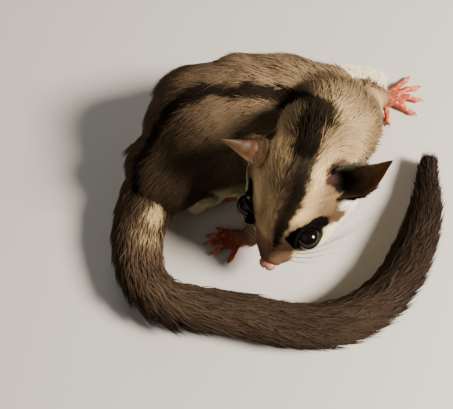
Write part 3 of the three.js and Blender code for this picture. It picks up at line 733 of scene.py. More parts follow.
def brush(found):
    """What lays a colour over those found, as far as a mask says."""

    def paint(colour, mask):
        found[:] = mix(found, colour, np.clip(mask, 0, 1)[:, None])

    return paint


def head_colour(q):
    s = folded(q)
    x, y, z = q.T
    found = np.repeat(GREY_BROWN[None], len(q), axis=0)
    paint = brush(found)
    rough = waves(q, 1.1, 5) * 0.35
    beside_stripe = s[:, 1] - np.interp(x, (-14, 0, 8, 16), (7.4, 7.2, 6.4, 4.4))
    bright = ramp(x, -13, -4) * (1 - 0.75 * ramp(x, 10, 15)) * (1 - ramp(x, 16, 20))
    paint(LIGHT_BAND, bright * bell(beside_stripe, 2.4))
    paint(LIGHT_BAND, 0.5 * bell(y - np.interp(x, BAND_X, BAND_Y), 1.5) * (z > 0))
    # A darker brown behind and below each eye: painted shade
    cheek_shade = ramp(x, 2.5, 5) * (1 - ramp(x, 8, 10)) * ramp(z, -4.4, -2.5) * (1 - ramp(z, 1, 3))
    paint(DARK_BROWN, 0.9 * cheek_shade)
    paint(DARK_BROWN, 0.5 * (1 - ramp(x, -4, 0)) * ramp(s[:, 1], 10.5, 13))
    paint(MUZZLE_BROWN, ramp(x, 18, 24))
    middle = np.interp(x, STRIPE_X, STRIPE_Y)
    half = np.interp(x, STRIPE_X, STRIPE_HALF)
    stripe = 1 - ramp(np.abs(y - middle) + rough, half - 0.8, half + 0.8)
    stripe_colour = mix(STRIPE_BROWN, NEAR_BLACK, ramp(y - middle, -2.2, -0.2)[:, None])
    paint(stripe_colour, 0.97 * stripe * (z > -2) * ramp(half, 0.2, 0.9))
    along = (s - EYE) @ PATCH_ALONG
    high = (s - EYE) @ PATCH_UP
    patch = np.hypot((along + 0.6) / 6.6, (high - 1.4) / 4.2) + 0.1 * rough
    paint(NEAR_BLACK, (1 - ramp(patch, 0.88, 1.06)) * (s[:, 1] > 2.5))
    edge = np.interp(x, UNDER_X, UNDER_Z)
    under = 1 - ramp(z + rough * 0.8, edge - 0.5, edge + 0.5)
    paint(CREAM, under * (1 - 0.35 * ramp(x, 26, 30)))
    white = ramp(s[:, 1], 13.2, 14.2) * (1 - ramp(np.abs(x - 1.8), 2.7, 3.7))
    paint(WHITE, white * (1 - ramp(np.abs(z + 1.4), 3.4, 4.6)))
    before_ear, hollow = by_ear(q)
    paint(EAR_SKIN, 1.3 * before_ear)
    # The hollow inside the ear's cup: painted shade
    paint(HOLLOW_SHADE, 1.5 * hollow)
    return found


def by_share(share, **amounts):
    """An amount for each kind of form, mixed as the kinds share each place."""
    return sum(amount * share[kind] for kind, amount in amounts.items())


def coat_colour(p, share):
    """The coat's colour at each place, from how near it lies to each group."""
    along, turn, _ = on_spine(p)
    tail_t, _, _ = on_tail(p)
    rough = waves(p, 2.5, 3)
    height = p[:, 2]
    # The back's browns carry painted shade towards the rump; the right flank, inside the curl, is
    # darkened further as painted shade
    trunk = between(along, BACK_ALONG, BACK_BROWNS) * (1 - 0.4 * ramp(-turn, 0.1, 0.7))[:, None]
    paint = brush(trunk)
    shoulder = ramp(turn, 0.7, 1.2) * ramp(along, 0.1, 0.5) * (1 - ramp(along, 1, 1.6))
    paint(DARK_BROWN, 0.65 * shoulder)
    paint(CREAM, ramp(np.abs(turn) + 0.05 * rough, 1.85, 2.15))
    front = ramp(p[:, 0], -4, 12)[:, None]
    arm = mix(ARM_BROWN, DARK_BROWN, ramp(-height, -14, -4)[:, None])
    limb = mix(trunk, arm * (1 - 0.55 * ramp(height, 17, 24))[:, None], front)
    # The tail darkens from the rump to its tip: its own darker coat, with painted shade in its browns
    tail = mix(np.array(BACK_BROWNS[-1]), TAIL_BROWN, ramp(tail_t, 0.02, 0.3)[:, None])
    tail = mix(tail, TAIL_DARK, ramp(tail_t, 0.3, 0.85)[:, None])
    edge, _ = along_line(p, RIBS["membrane_left"][1])
    inner_edge, _ = along_line(p, RIBS["membrane_right"][1])
    dark_edge = ramp(edge, 3, 4.4) * (1 - ramp(edge, 5, 8))
    sheet = mix(mix(trunk, ARM_BROWN, front), TAIL_BROWN, 0.6 * dark_edge[:, None])
    columns = {kind: part[:, None] for kind, part in share.items()}
    found = by_share(columns, head=head_colour(to_head(p)), trunk=trunk, limb=limb, tail=tail,
                     membrane=sheet, paw=mix(DARK_BROWN, PINK, 0.55))
    paint = brush(found)
    # The stripe down the back, the cream fringe along the membranes' edges, the light rump
    off, where = along_line(p * FLAT, DORSAL_LINE)
    half = np.interp(where, range(len(DORSAL_HALF)), DORSAL_HALF)
    dorsal = (1 - ramp(off + 0.4 * rough, half - 0.8, half + 1.0)) * (share["trunk"] + share["head"])
    paint(NEAR_BLACK, 0.95 * np.clip(dorsal * ramp(height, 13, 18), 0, 1))
    outer = (1 - ramp(edge + 0.3 * rough, 2.2, 3.6)) * ramp(p[:, 0], 20, 42)
    inner = 1 - ramp(inner_edge, 1.6, 2.6)
    paint(CREAM, 0.95 * np.maximum(outer, inner) * (1 - share["paw"]))
    spot = np.linalg.norm((p - RUMP_SPOT) / RUMP_RADII, axis=1)
    trail = np.linalg.norm((p - RUMP_TRAIL) / (1.5 * RUMP_RADII), axis=1)
    light = np.maximum(0.95 * (1 - ramp(spot, 0.5, 1.2)), 0.3 * (1 - ramp(trail, 0.2, 1.1)))
    paint(RUMP_CREAM, light * (1 - share["paw"]))
    tone = 1 + 0.1 * waves(p, 7, 21) + 0.07 * rough
    return np.clip(found * tone[:, None], 0.002, 1)


KINDS = {"head": "head", "trunk": "trunk", "tail": "tail", **{n: "limb" for n in LIMBS},
         **{n: "paw" for n in PAWS}, **{n: "membrane" for n in MEMBRANES}}


def shares(p, soft=1.2):
    """How much each kind of form owns a place, softly, adding up to one."""
    found = {kind: np.zeros(len(p)) for kind in set(KINDS.values())}
    total = np.zeros(len(p))
    for name, far in distances(p).items():
        part = np.exp(-np.clip(far, -8, 40) / soft)
        found[KINDS[name]] += part
        total += part
    return {kind: part / total for kind, part in found.items()}


def flow(p, share):
    """The way the hair lies: from the nose over the head and back, down the limbs, to the tail's tip."""
    _, _, spine_way = on_spine(p)
    _, _, tail_way = on_tail(p)
    q = to_head(p)
    side = np.sign(q[:, 1:2])
    # Round the eye the hair parts and sweeps past it
    s = folded(q)
    away = across(s - EYE, EYE_LOOK)
    away[:, 1] *= side[:, 0]
    close = bell(np.linalg.norm(s - EYE, axis=1) - 4, 2.6)
    back = unit(vec(-1, 0, -0.12) + side * vec(0, 0.22, 0)) + 0.9 * close[:, None] * away
    outward = unit(RIBS["membrane_left"][1][12] - RIBS["membrane_left"][0][12])
    columns = {kind: part[:, None] for kind, part in share.items()}
    found = by_share(
        columns, head=unit(back) @ HEAD_AXES, trunk=spine_way + vec(0, 0, -0.18), tail=tail_way,
        membrane=0.8 * outward + 0.4 * spine_way, paw=0.4 * spine_way)
    for name, joints in LIMBS.items():
        part = np.exp(-np.clip(near(p, *GROUPS[name]), -8, 40) / 1.2)[:, None]
        found += columns["limb"] * part * unit(joints[-1][0] - joints[1][0])
    swirl = np.stack([waves(p, 9, seed) for seed in (31, 32, 33)], axis=1)
    return found + 0.13 * swirl


# Materials

SOCKETS = {"Coat Roughness": 0.03, "Subsurface Scale": MM, "Subsurface Radius": (1.0, 0.35, 0.2)}


def shader(name, **sockets):
    """A material with its shader's sockets set, their names written with _ for a space."""
    material = bpy.data.materials.new(name)
    material.use_nodes = True
    tree = material.node_tree
    made = tree.nodes["Principled BSDF"]
    for socket, value in {**SOCKETS, **sockets}.items():
        made.inputs[socket.replace("_", " ")].default_value = value
    return material, tree, made


def textured(tree, kind, size, **inputs):
    """A texture over the object, its features about size millimetres across."""
    node = tree.nodes.new(kind)
    for name, value in {"Scale": 1 / (size * MM), **inputs}.items():
        node.inputs[name].default_value = value
    place = tree.nodes.new("ShaderNodeTexCoord").outputs["Object"]
    tree.links.new(place, node.inputs["Vector"])
    return node


def noise(tree, size, detail=3.0, distortion=0.0):
    return textured(tree, "ShaderNodeTexNoise", size, Detail=detail, Distortion=distortion).outputs["Fac"]


def spans(tree, value, low, high):
    node = tree.nodes.new("ShaderNodeMapRange")
    node.inputs["To Min"].default_value = low
    node.inputs["To Max"].default_value = high
    tree.links.new(value, node.inputs["Value"])
    return node.outputs["Result"]


def cells(tree, size):
    """How far each place is from the edge of its cell."""
    node = textured(tree, "ShaderNodeTexVoronoi", size)
    node.feature = "DISTANCE_TO_EDGE"
    return spans(tree, node.outputs["Distance"], 0.0, 3.0)


def bump(tree, made, height, depth):
    """Raise the surface by height times depth millimetres."""
    node = tree.nodes.new("ShaderNodeBump")
    node.inputs["Strength"].default_value = 1.0
    node.inputs["Distance"].default_value = depth * MM
    tree.links.new(height, node.inputs["Height"])
    tree.links.new(node.outputs["Normal"], made.inputs["Normal"])


def own_colour(tree):
    node = tree.nodes.new("ShaderNodeAttribute")
    node.attribute_name = "coat"
    return node.outputs["Color"]


def painted(tree, made, low, high, size):
    """Base colour from the mesh's own colours, made lighter and darker by noise."""
    scaled = tree.nodes.new("ShaderNodeVectorMath")
    scaled.operation = "SCALE"
    tree.links.new(own_colour(tree), scaled.inputs[0])
    tree.links.new(spans(tree, noise(tree, size), low, high), scaled.inputs["Scale"])
    tree.links.new(scaled.outputs["Vector"], made.inputs["Base Color"])


def fur_material():
    material, tree, made = shader("coat_hair", Roughness=0.75, Specular_IOR_Level=0.02)
    painted(tree, made, 0.85, 1.15, 0.8)
    bump(tree, made, noise(tree, 0.12), 0.02)
    return material


def skin_material():
    material, tree, made = shader(
        "skin", Roughness=0.7, Specular_IOR_Level=0.02, Subsurface_Weight=0.15)
    painted(tree, made, 0.7, 1.25, 1.2)
    bump(tree, made, noise(tree, 0.35, 5), 0.12)
    return material


def nose_material():
    material, tree, made = shader("nose_skin", Roughness=0.33, Subsurface_Weight=0.3, Coat_Weight=0.25)
    painted(tree, made, 0.8, 1.2, 0.5)
    bump(tree, made, cells(tree, 0.3), 0.04)
    return material


def ear_material():
    material, tree, made = shader(
        "ear_skin", Roughness=0.5, Specular_IOR_Level=0.2, Subsurface_Weight=0.15,
        Subsurface_Scale=0.5 * MM)
    painted(tree, made, 0.7, 1.3, 1.1)
    bump(tree, made, noise(tree, 0.5, 4, 0.6), 0.06)
    glow = tree.nodes.new("ShaderNodeBsdfTranslucent")
    glow.inputs["Color"].default_value = (0.26, 0.14, 0.06, 1)
    both = tree.nodes.new("ShaderNodeMixShader")
    both.inputs["Fac"].default_value = 0.16
    tree.links.new(made.outputs["BSDF"], both.inputs[1])
    tree.links.new(glow.outputs["BSDF"], both.inputs[2])
    tree.links.new(both.outputs["Shader"], tree.nodes["Material Output"].inputs["Surface"])
    return material


def eye_material():
    material, tree, made = shader("eye_wet", Roughness=0.05, Specular_IOR_Level=0.25)
    tree.links.new(own_colour(tree), made.inputs["Base Color"])
    bump(tree, made, noise(tree, 2.5), 0.01)
    return material


def horn_material():
    material, tree, made = shader("claw_horn", Roughness=0.32, Subsurface_Weight=0.1)
    painted(tree, made, 0.7, 1.2, 0.4)
    bump(tree, made, noise(tree, 0.2), 0.02)
    return material


def whisker_material():
    material, tree, made = shader("whisker", Roughness=0.4)
    painted(tree, made, 0.8, 1.2, 3)
    bump(tree, made, noise(tree, 0.4), 0.005)
    return material


# Blender objects


def placed(name, data):
    made = bpy.data.objects.new(name, data)
    bpy.context.scene.collection.objects.link(made)
    return made


def build(name, verts, faces, colours, material, uvs=None, normals=None):
    """An object from arrays: places in millimetres in the animal's frame, faces all of one size."""
    mesh = bpy.data.meshes.new(name)
    verts = np.asarray(verts, float)
    faces = np.asarray(faces, np.int32)
    sides = faces.shape[1]
    mesh.vertices.add(len(verts))
    mesh.vertices.foreach_set("co", ((verts + SHIFT) * MM).astype(np.float32).ravel())
    mesh.loops.add(faces.size)
    mesh.loops.foreach_set("vertex_index", faces.ravel())
    mesh.polygons.add(len(faces))
    mesh.polygons.foreach_set("loop_start", np.arange(0, faces.size, sides, dtype=np.int32))
    mesh.polygons.foreach_set("use_smooth", np.full(len(faces), True))
    paint = mesh.color_attributes.new("coat", "FLOAT_COLOR", "POINT")
    rgba = np.concatenate([colours, np.ones((len(verts), 1))], axis=1).astype(np.float32)
    paint.data.foreach_set("color", rgba.ravel())
    if uvs is not None:
        layer = mesh.uv_layers.new(name="OFBake")
        layer.data.foreach_set("uv", uvs[faces.ravel()].astype(np.float32).ravel())
    mesh.update(calc_edges=True)
    if normals is not None:
        mesh.normals_split_custom_set_from_vertices(normals.tolist())
    mesh.materials.append(material)
    made = placed(name, mesh)
    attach(made, "root")
    return made


def joined(made):
    """Several meshes as one: their places and faces."""
    verts, faces, start = [], [], 0
    for points, rows in made:
        verts.append(points)
        faces.append(rows + start)
        start += len(points)
    return np.concatenate(verts), np.concatenate(faces)


# Skin: the body, the head and each paw are meshed at their own fineness and kept as one skin

LOW = vec(-46, -48, -1.5)
HIGH = vec(78, 70, 62)
BODY_STEP = 1.0
HEAD_STEP = 0.42
PAW_STEP = 0.3
HEAD_LOW = vec(-3, -21, -19)
HEAD_HIGH = vec(34, 21, 16)


def in_head_part(p, margin):
    q = to_head(p)
    inside = np.all((q > HEAD_LOW + margin) & (q < HEAD_HIGH - margin), axis=1)
    return inside & (head_forms(q) < 3)


PAW_BOXES = {name: box_of(np.concatenate(lines), 1.7) for name, lines in DIGITS.items()}


def in_paw_part(p, name, margin):
    low, high = PAW_BOXES[name]
    return np.all((p > low + margin) & (p < high - margin), axis=1)


def keep_body(p):
    out = ~in_head_part(p, 1.0)
    for name in PAWS:
        out &= ~in_paw_part(p, name, 0.8)
    return out


parts = {"body": surface(skin_field, LOW, HIGH, BODY_STEP, keep=keep_body)}
parts["head"] = surface(
    skin_field, HEAD_LOW, HEAD_HIGH, HEAD_STEP, to_world=from_head,
    keep=lambda p: head_forms(to_head(p)) < 3.4)
for paw_name in PAWS:
    parts[paw_name] = surface(
        skin_field, *PAW_BOXES[paw_name], PAW_STEP, keep=lambda p: p[:, 2] > -1)


def skin_colour(p):
    """The skin under the coat takes its marks, darker; hands, feet, lids and nose show bare."""
    share = shares(p)
    found = coat_colour(p, share) * 0.55
    q = to_head(p)
    spots = ramp(waves(p, 1.6, 41) + 0.5 * waves(p, 0.8, 42), 0.1, 1.2)
    flesh = mix(PINK, PINK_PALE, spots[:, None])
    for line in sum(DIGITS.values(), []):
        pad = np.linalg.norm(p - line[15], axis=1)
        flesh = mix(flesh, PINK_PALE, 0.6 * (1 - ramp(pad, 0.8, 1.7))[:, None])
    # The right hand, tucked under the head, is darkened towards its wrist: painted shade
    right_wrist_shade = np.exp(-np.linalg.norm(p - PAWS["hand_right"]["wrist"], axis=1) / 16)
    paint = brush(found)
    paint(flesh * (1 - 0.7 * right_wrist_shade)[:, None], share["paw"] * 1.6 - 0.3)
    rim = bell(np.linalg.norm(folded(q) - EYE, axis=1) - EYE_RADIUS - 0.4, 0.9)
    paint(NEAR_BLACK * 1.2, rim * share["head"])
    paint(0.7 * PINK, 0.7 * share["head"] * ramp(q[:, 0], 26.5, 29.5))
    return found


skin_verts, skin_quads = joined(parts.values())
skin = build("skin", skin_verts, skin_quads, skin_colour(skin_verts), skin_material())
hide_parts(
    "head", "neck", "chest", "abdomen", "hips", "upper_arm_left", "forearm_left",
    "upper_arm_right", "forearm_right", "thigh_left", "shin_left", "thigh_right", "shin_right",
    "hand_left", "hand_right", "foot_left", "foot_right", "membrane_left", "membrane_right",
    "tail_base", "tail_bend", "tail_mid", "tail_end", "tail_tip")


# Coat: thin closed tufts that rise from the skin and lie back along the flow

TUFT_REACH = {"short": (0.42, 1), "long": (0.3, 0.66, 1)}
TUFT_GIRTH = {"short": (1, 0), "long": (0.9, 0.8, 0)}
TUFT_SUNK = 0.15  # how deep each starts in the skin
SHADE_ROOT = 0.7
SHADE_TIP = 1.12


def tufts(root, normal, way, length, width, lift, colour, kind):
    """Vertices, triangles, colours and shading normals of blades that bend back towards the skin.

    Each is a point sunk in the skin, one or two three-cornered sections, and a tip."""
    count = len(root)
    width = np.broadcast_to(width, count)
    side = unit(np.cross(way, normal))
    bend = rng.normal(0, 0.09, count)
    layers = [(root - TUFT_SUNK * normal)[:, None]]
    paints = [(colour * SHADE_ROOT)[:, None]]
    facing = [normal[:, None]]
    for reach, girth in zip(TUFT_REACH[kind], TUFT_GIRTH[kind]):
        angle = lift * (1 - 0.62 * reach)
        along = length * reach * np.cos(angle)
        up = length * reach * np.sin(angle)
        place = root + along[:, None] * way + up[:, None] * normal
        place = place + (length * bend * reach**2)[:, None] * side
        half = (width * girth / 2)[:, None]
        shade = mix(SHADE_ROOT, SHADE_TIP, min(1, reach * 1.3))
        if girth == 0:
            layers.append(place[:, None])
            paints.append((colour * shade)[:, None])
            facing.append(unit(normal + 0.3 * way)[:, None])
        else:
            ring = [place - half * side, place + half * side, place + 0.7 * half * normal]
            layers.append(np.stack(ring, axis=1))
            paints.append(np.repeat((colour * shade)[:, None], 3, axis=1))
            sides = [unit(normal - 0.7 * side), unit(normal + 0.7 * side), normal]
            facing.append(np.stack(sides, axis=1))
    verts = np.concatenate(layers, axis=1)
    paint = np.clip(np.concatenate(paints, axis=1), 0, 1)
    normals = np.concatenate(facing, axis=1)
    each = verts.shape[1]
    rings = (each - 2) // 3
    faces = []
    for n in range(3):
        m = (n + 1) % 3
        faces.append((0, 1 + n, 1 + m))
        for r in range(rings - 1):
            a, b = 1 + 3 * r + n, 1 + 3 * r + m
            faces += [(a, b + 3, b), (a, a + 3, b + 3)]
        last = 1 + 3 * (rings - 1)
        faces.append((last + n, each - 1, last + m))
    faces = np.asarray(faces)[None] + each * np.arange(count)[:, None, None]
    return verts.reshape(-1, 3), faces.reshape(-1, 3), paint.reshape(-1, 3), normals.reshape(-1, 3), each


PATCH = 0.003  # how wide each tuft's patch is on the unwrap


def unwrap(p, share):
    """The skin laid out flat: the trunk and head along and round, limbs and tail beside them."""
    along, turn, _ = on_spine(p)
    q = to_head(p)
    tail_t, tail_turn, _ = on_tail(p)
    trunk = np.stack([0.02 + 0.45 * along / 8, 0.5 + 0.45 * turn / np.pi], axis=1)
    head_turn = np.arctan2(q[:, 1], q[:, 2])
    head = np.stack([0.5 + 0.2 * (q[:, 0] + 20) / 55, 0.5 + 0.45 * head_turn / np.pi], axis=1)
    tail = np.stack([0.72 + 0.1 * tail_turn / np.pi + 0.05, 0.02 + 0.9 * tail_t], axis=1)
    limb = np.stack([0.9 + 0.06 * p[:, 0] / 70, 0.5 + 0.45 * p[:, 1] / 70], axis=1)
    kinds = list(share)
    owner = np.argmax(np.stack([share[k] for k in kinds]), axis=0)
    layout = {"trunk": trunk, "head": head, "tail": tail}
    stack = np.stack([layout.get(k, limb) for k in kinds])
    return stack[owner, np.arange(len(p))]


def patch_uvs(spot, each):
    turn = np.linspace(0, 2 * np.pi, each, endpoint=False)
    offsets = np.stack([np.cos(turn), np.sin(turn)], axis=1) * PATCH / 2
    return (spot[:, None] + offsets[None]).reshape(-1, 2)


def corner_area(verts, quads):
    a, b, c, d = (verts[quads[:, n]] for n in range(4))
    return 0.5 * np.linalg.norm(np.cross(c - a, d - b), axis=1)


def scatter(verts, quads, weight, count):
    """Random places on the faces, as many on each as its weight asks, and the face of each."""
    chosen = rng.choice(len(quads), size=count, p=weight / weight.sum())
    a, b, c, d = (verts[quads[chosen, n]] for n in range(4))
    u = rng.random((count, 1))
    v = rng.random((count, 1))
    return mix(mix(a, b, u), mix(d, c, u), v), chosen


def bare_mask(p):
    """Where no hair grows: inside the lids, on the nose, by the floor."""
    q = to_head(p)
    eye = np.linalg.norm(folded(q) - EYE, axis=1) < EYE_RADIUS + 0.95
    return eye | (egg(q, PAD, PAD_RADII + 0.25) < 0) | (p[:, 2] < 0.4)


HAIR = fur_material()
BODY_TUFTS = 112000
HEAD_TUFTS = 70000
PAW_TUFTS = 500
FRINGE_TUFTS = 5200
PIECE_TUFTS = 30000


def grow(name, blades, kind="short", spot=None):
    """One piece of the coat: a tuft from each root, each with its own patch on the unwrap."""
    verts, faces, paint, normals, each = tufts(*blades, kind)
    verts[:, 2] = np.maximum(verts[:, 2], FLOOR_GAP)
    if spot is None:
        spot = rng.random((len(blades[0]), 2)) * 0.9 + 0.05
    build(name, verts, faces, paint, HAIR, patch_uvs(spot, each), normals)


def grow_pieces(label, order, pieces, blades, kind, spot):
    """The same tufts as several pieces, each a stretch of the order."""
    for n, chosen in enumerate(np.array_split(order, pieces)):
        grow(f"coat_{label}_{n + 1}", [row[chosen] for row in blades], kind, spot[chosen])


def coat(label, verts, quads, count, weight_of, size_of):
    weight = corner_area(verts, quads) * weight_of(verts[quads].mean(axis=1))
    root, _ = scatter(verts, quads, weight, count)
    root = root[~bare_mask(root)]
    normal = slope(skin_field, root)
    share = shares(root)
    own = flow(root, share)
    lying = own - dot(own, normal)[:, None] * normal
    way = across(unit(lying + 0.12 * rng.normal(size=root.shape)), normal)
    length, width, lift = size_of(root, share)
    length = length * rng.uniform(0.75, 1.2, len(root))
    width = width * rng.uniform(0.8, 1.2, len(root))
    lift = lift * rng.uniform(0.7, 1.35, len(root))
    colour = coat_colour(root, share) * rng.uniform(0.84, 1.15, (len(root), 1))
    order = np.lexsort((root[:, 1], np.round(root[:, 0] / 12)))
    pieces = int(np.ceil(len(root) / PIECE_TUFTS))
    blades = (root, normal, way, length, width, lift, colour)
    grow_pieces(label, order, pieces, blades, "short", unwrap(root, share))


def head_size(p, share):
    q = to_head(p)
    s = folded(q)
    x, z = q[:, 0], q[:, 2]
    back = 1 - ramp(x, -4, 20)
    by_eye = 1 - ramp(np.linalg.norm(s - EYE, axis=1), 5, 8)
    length = mix(mix(1.15, 3.4, back), 1.0, by_eye)
    below = bell(z - np.interp(x, UNDER_X, UNDER_Z) + 1.1, 1.2) * ramp(x, 5, 8) * (1 - ramp(x, 21, 25))
    length = mix(length, 2.3, below)
    white = ramp(s[:, 1], 12.6, 13.8) * (1 - ramp(np.abs(x - 1.8), 3, 4.4))
    white = white * (1 - ramp(np.abs(z + 1.4), 3.8, 5))
    length = mix(length, 3.2, white)
    jowl = ramp(s[:, 1], 11.5, 13.5) * ramp(x, -3, 0) * (1 - white)
    bare = np.clip(np.sum(by_ear(q), axis=0), 0, 1)
    length = length * (1 - 0.35 * jowl) * (1 - 0.75 * bare)
    width = mix(0.17, 0.28, back) * (1 - 0.4 * bare)
    lift = mix(mix(mix(0.32, 0.42, back), 0.8, below), 0.6, white)
    return length, width, lift


def body_size(p, share):
    length = by_share(share, trunk=6.2, limb=3.8, membrane=4.2, head=3.4, paw=1.0, tail=8)
    width = by_share(share, trunk=0.4, limb=0.32, membrane=0.36, head=0.3, paw=0.2, tail=0.5)
    clump = waves(p, 5, 51)
    return length * (1 + 0.08 * clump), width, 0.42 * (1 + 0.2 * clump)


def paw_size(p, share):
    return 1.1, 0.16, 0.4


def body_weight(p):
    paw = 0.35 * (p[:, 2] > 3)
    found = by_share(shares(p), trunk=1, limb=2.2, membrane=2.2, head=1.6, paw=paw)
    return found * mix(0.35, 1, ramp(p[:, 2], 0.5, 6))


def head_weight(p):
    q = to_head(p)
    return mix(1, 2.6, ramp(q[:, 0], 2, 20)) * np.clip(1 - 3 * shares(p)["limb"], 0, 1)


def paw_weight(p):
    return ramp(p[:, 2], 2.2, 4) + 0.01


coat("head", *parts["head"], HEAD_TUFTS, head_weight, head_size)
coat("body", *parts["body"], BODY_TUFTS, body_weight, body_size)
for paw_name in PAWS:
    coat(paw_name, *parts[paw_name], PAW_TUFTS, paw_weight, paw_size)

# The cream fringe along the membranes' free edges, thickest by the wrist


def fringe(side, first, last, reach, count):
    held, free = RIBS[f"membrane_{side}"]
    share = first + (last - first) * rng.random(count) ** 1.3
    along = share * (len(free) - 1)
    inward = rng.uniform(0, 0.3, count)[:, None]
    edge = between(along, range(len(free)), free)
    base = between(along, range(len(free)), held)
    out = unit((edge - base) * vec(1, 1, 0.3))
    over = unit(np.cross(unit(np.gradient(free, axis=0))[along.astype(int)], out))
    over = over * np.sign(over[:, 2:3] + 1e-6)
    root = mix(edge, base, inward) + over * 0.4
    normal = unit(over + rng.uniform(-0.4, 1.0, (count, 1)) * out)
    way = across(out + vec(0, 0, -0.15) + 0.22 * rng.normal(size=root.shape), normal)
    length = reach * rng.uniform(0.7, 1.2, count)
    light = (1 - ramp(share, 0.2, 0.5))[:, None] if side == "left" else 1.0
    colour = mix(ARM_BROWN, mix(CREAM, WHITE, 0.4), light) * rng.uniform(0.85, 1.08, (count, 1))
    blades = (root, normal, way, length, 0.26, 0.45, colour)
    grow(f"coat_fringe_{side}", blades, spot=unwrap(root, shares(root)))


fringe("left", 0.02, 0.62, 3.4, FRINGE_TUFTS)
fringe("right", 0.05, 0.95, 2.4, FRINGE_TUFTS // 4)

# The tail's locks, long and soft, in a brush round the core

TAIL_LOCKS = 24000


def tail_coat():
    start = rng.uniform(0.0, 1.06, TAIL_LOCKS)
    start = np.where(start > 1, 0.94 + (start - 1), start)
    turn = rng.uniform(0, 2 * np.pi, TAIL_LOCKS)
    place = between(start, TAIL_SHARE, TAIL_LINE)
    _, _, way = on_tail(place)
    side = unit(np.cross(way, vec(0, 0, 1)))
    top = np.cross(side, way)
    out = np.cos(turn)[:, None] * side + np.sin(turn)[:, None] * top
    girth = np.interp(start, TAIL_SHARE, TAIL_GIRTH)
    core = np.interp(start, TAIL_SHARE, TAIL_CORE)
    root = place + out * core[:, None]
    length = mix(7, 13.5, ramp(start, 0.02, 0.3)) * mix(1, 0.8, ramp(start, 0.85, 1))
    length = length * rng.uniform(0.8, 1.15, TAIL_LOCKS)
    rise = (girth - core) * rng.uniform(0.6, 1.08, TAIL_LOCKS)
    rise = rise * mix(1, rng.uniform(-0.1, 0.35, TAIL_LOCKS), ramp(start, 0.8, 0.98))
    lift = np.arcsin(np.clip(rise / length, -0.1, 0.9)) * 1.6
    way = across(way + 0.07 * rng.normal(size=way.shape), out)
    colour = coat_colour(root, shares(root)) * rng.uniform(0.6, 1.4, (TAIL_LOCKS, 1))
    width = rng.uniform(0.25, 0.55, TAIL_LOCKS)
    spot = np.stack([start * 0.96 + 0.02, turn / 6.5 + 0.01], axis=1)
    blades = (root, out, way, length, width, lift, colour)
    grow_pieces("tail", np.argsort(start), 2, blades, "long", spot)


tail_coat()

# Round pieces: rings of places, closed by a place at either end


def ring_faces(rows, sides):
    """The triangles between rings, and the fans to the first end and the last."""
    a = np.arange((rows - 1) * sides)
    b = a - a % sides + (a + 1) % sides
    n = np.arange(sides)
    after = (n + 1) % sides
    last = (rows - 1) * sides
    end = np.full(sides, rows * sides)
    rows_of_faces = [(a, b, b + sides), (a, b + sides, a + sides), (end, after, n),
                     (end + 1, last + n, last + after)]
    return np.concatenate([np.stack(corners, axis=1) for corners in rows_of_faces])


def tube(line, radii, sides):
    """A closed tapered tube round a line of points, ending in a point."""
    way = unit(np.gradient(line, axis=0))
    guide = np.where(np.abs(way[:, 2:3]) > 0.9, vec(1, 0, 0), vec(0, 0, 1))
    side = unit(np.cross(way, guide))
    top = np.cross(side, way)
    turn = np.linspace(0, 2 * np.pi, sides, endpoint=False)
    rings = line[:, None] + radii[:, None, None] * (
        np.cos(turn)[None, :, None] * side[:, None] + np.sin(turn)[None, :, None] * top[:, None])
    points = np.concatenate([rings.reshape(-1, 3), line[:1], line[-1:]])
    return points, ring_faces(len(line), sides)


# Eyes: a dark wet ball with a faint brown ring, its front standing a little proud

EYE_RINGS = 40
EYE_SIDES = 56
CORNEA = 0.32


def eye(side, name, node):
    polar = np.linspace(0, np.pi, EYE_RINGS + 1)[1:-1]
    turn = np.linspace(0, 2 * np.pi, EYE_SIDES, endpoint=False)
    grid_polar, grid_turn = np.meshgrid(polar, turn, indexing="ij")
    reach = EYE_RADIUS + CORNEA * bell(grid_polar, 0.85, 4)
    local = np.stack([
        np.sin(grid_polar) * np.cos(grid_turn), np.sin(grid_polar) * np.sin(grid_turn),
        np.cos(grid_polar)], axis=-1) * reach[..., None]
    points = local.reshape(-1, 3) @ np.array([EYE_FRONT, EYE_TOP, EYE_LOOK])
    ends = [EYE_LOOK * (EYE_RADIUS + CORNEA), -EYE_LOOK * EYE_RADIUS]
    points = (np.concatenate([points, ends]) + EYE) * vec(1, side, 1)
    tris = ring_faces(EYE_RINGS - 1, EYE_SIDES)
    if side > 0:
        tris = tris[:, ::-1]
    brown = bell(np.concatenate([grid_polar.ravel(), [0, np.pi]]) - 0.9, 0.2)
    colour = mix(vec(0.002, 0.0015, 0.0015), vec(0.006, 0.003, 0.002), brown[:, None])
    made = build(name, from_head(points), tris, colour, eye_material())
    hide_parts(node)


eye(1, "eyeball_left", "eye_left")
eye(-1, "eyeball_right", "eye_right")

# Nose


def nose():
    low = PAD - PAD_RADII - 1
    high = PAD + PAD_RADII + 1.4
    points, faces = surface(lambda p: nose_field(to_head(p)), low, high, 0.14, to_world=from_head)
    q = to_head(points)
    hole = 1 - ramp(nostril(folded(q)), 0.0, 0.35)
    colour = mix(PINK * 0.95, vec(0.52, 0.22, 0.16), ramp(q[:, 2], -6.5, -3.5)[:, None])
    # Inside the nostrils: painted shade
    colour = mix(colour, vec(0.05, 0.012, 0.01), hole[:, None])
    made = build("nose", points, faces, colour, nose_material())
    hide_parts("nose_pad")


nose()

# Ears: thin leaf-shaped cups with soft folds inside

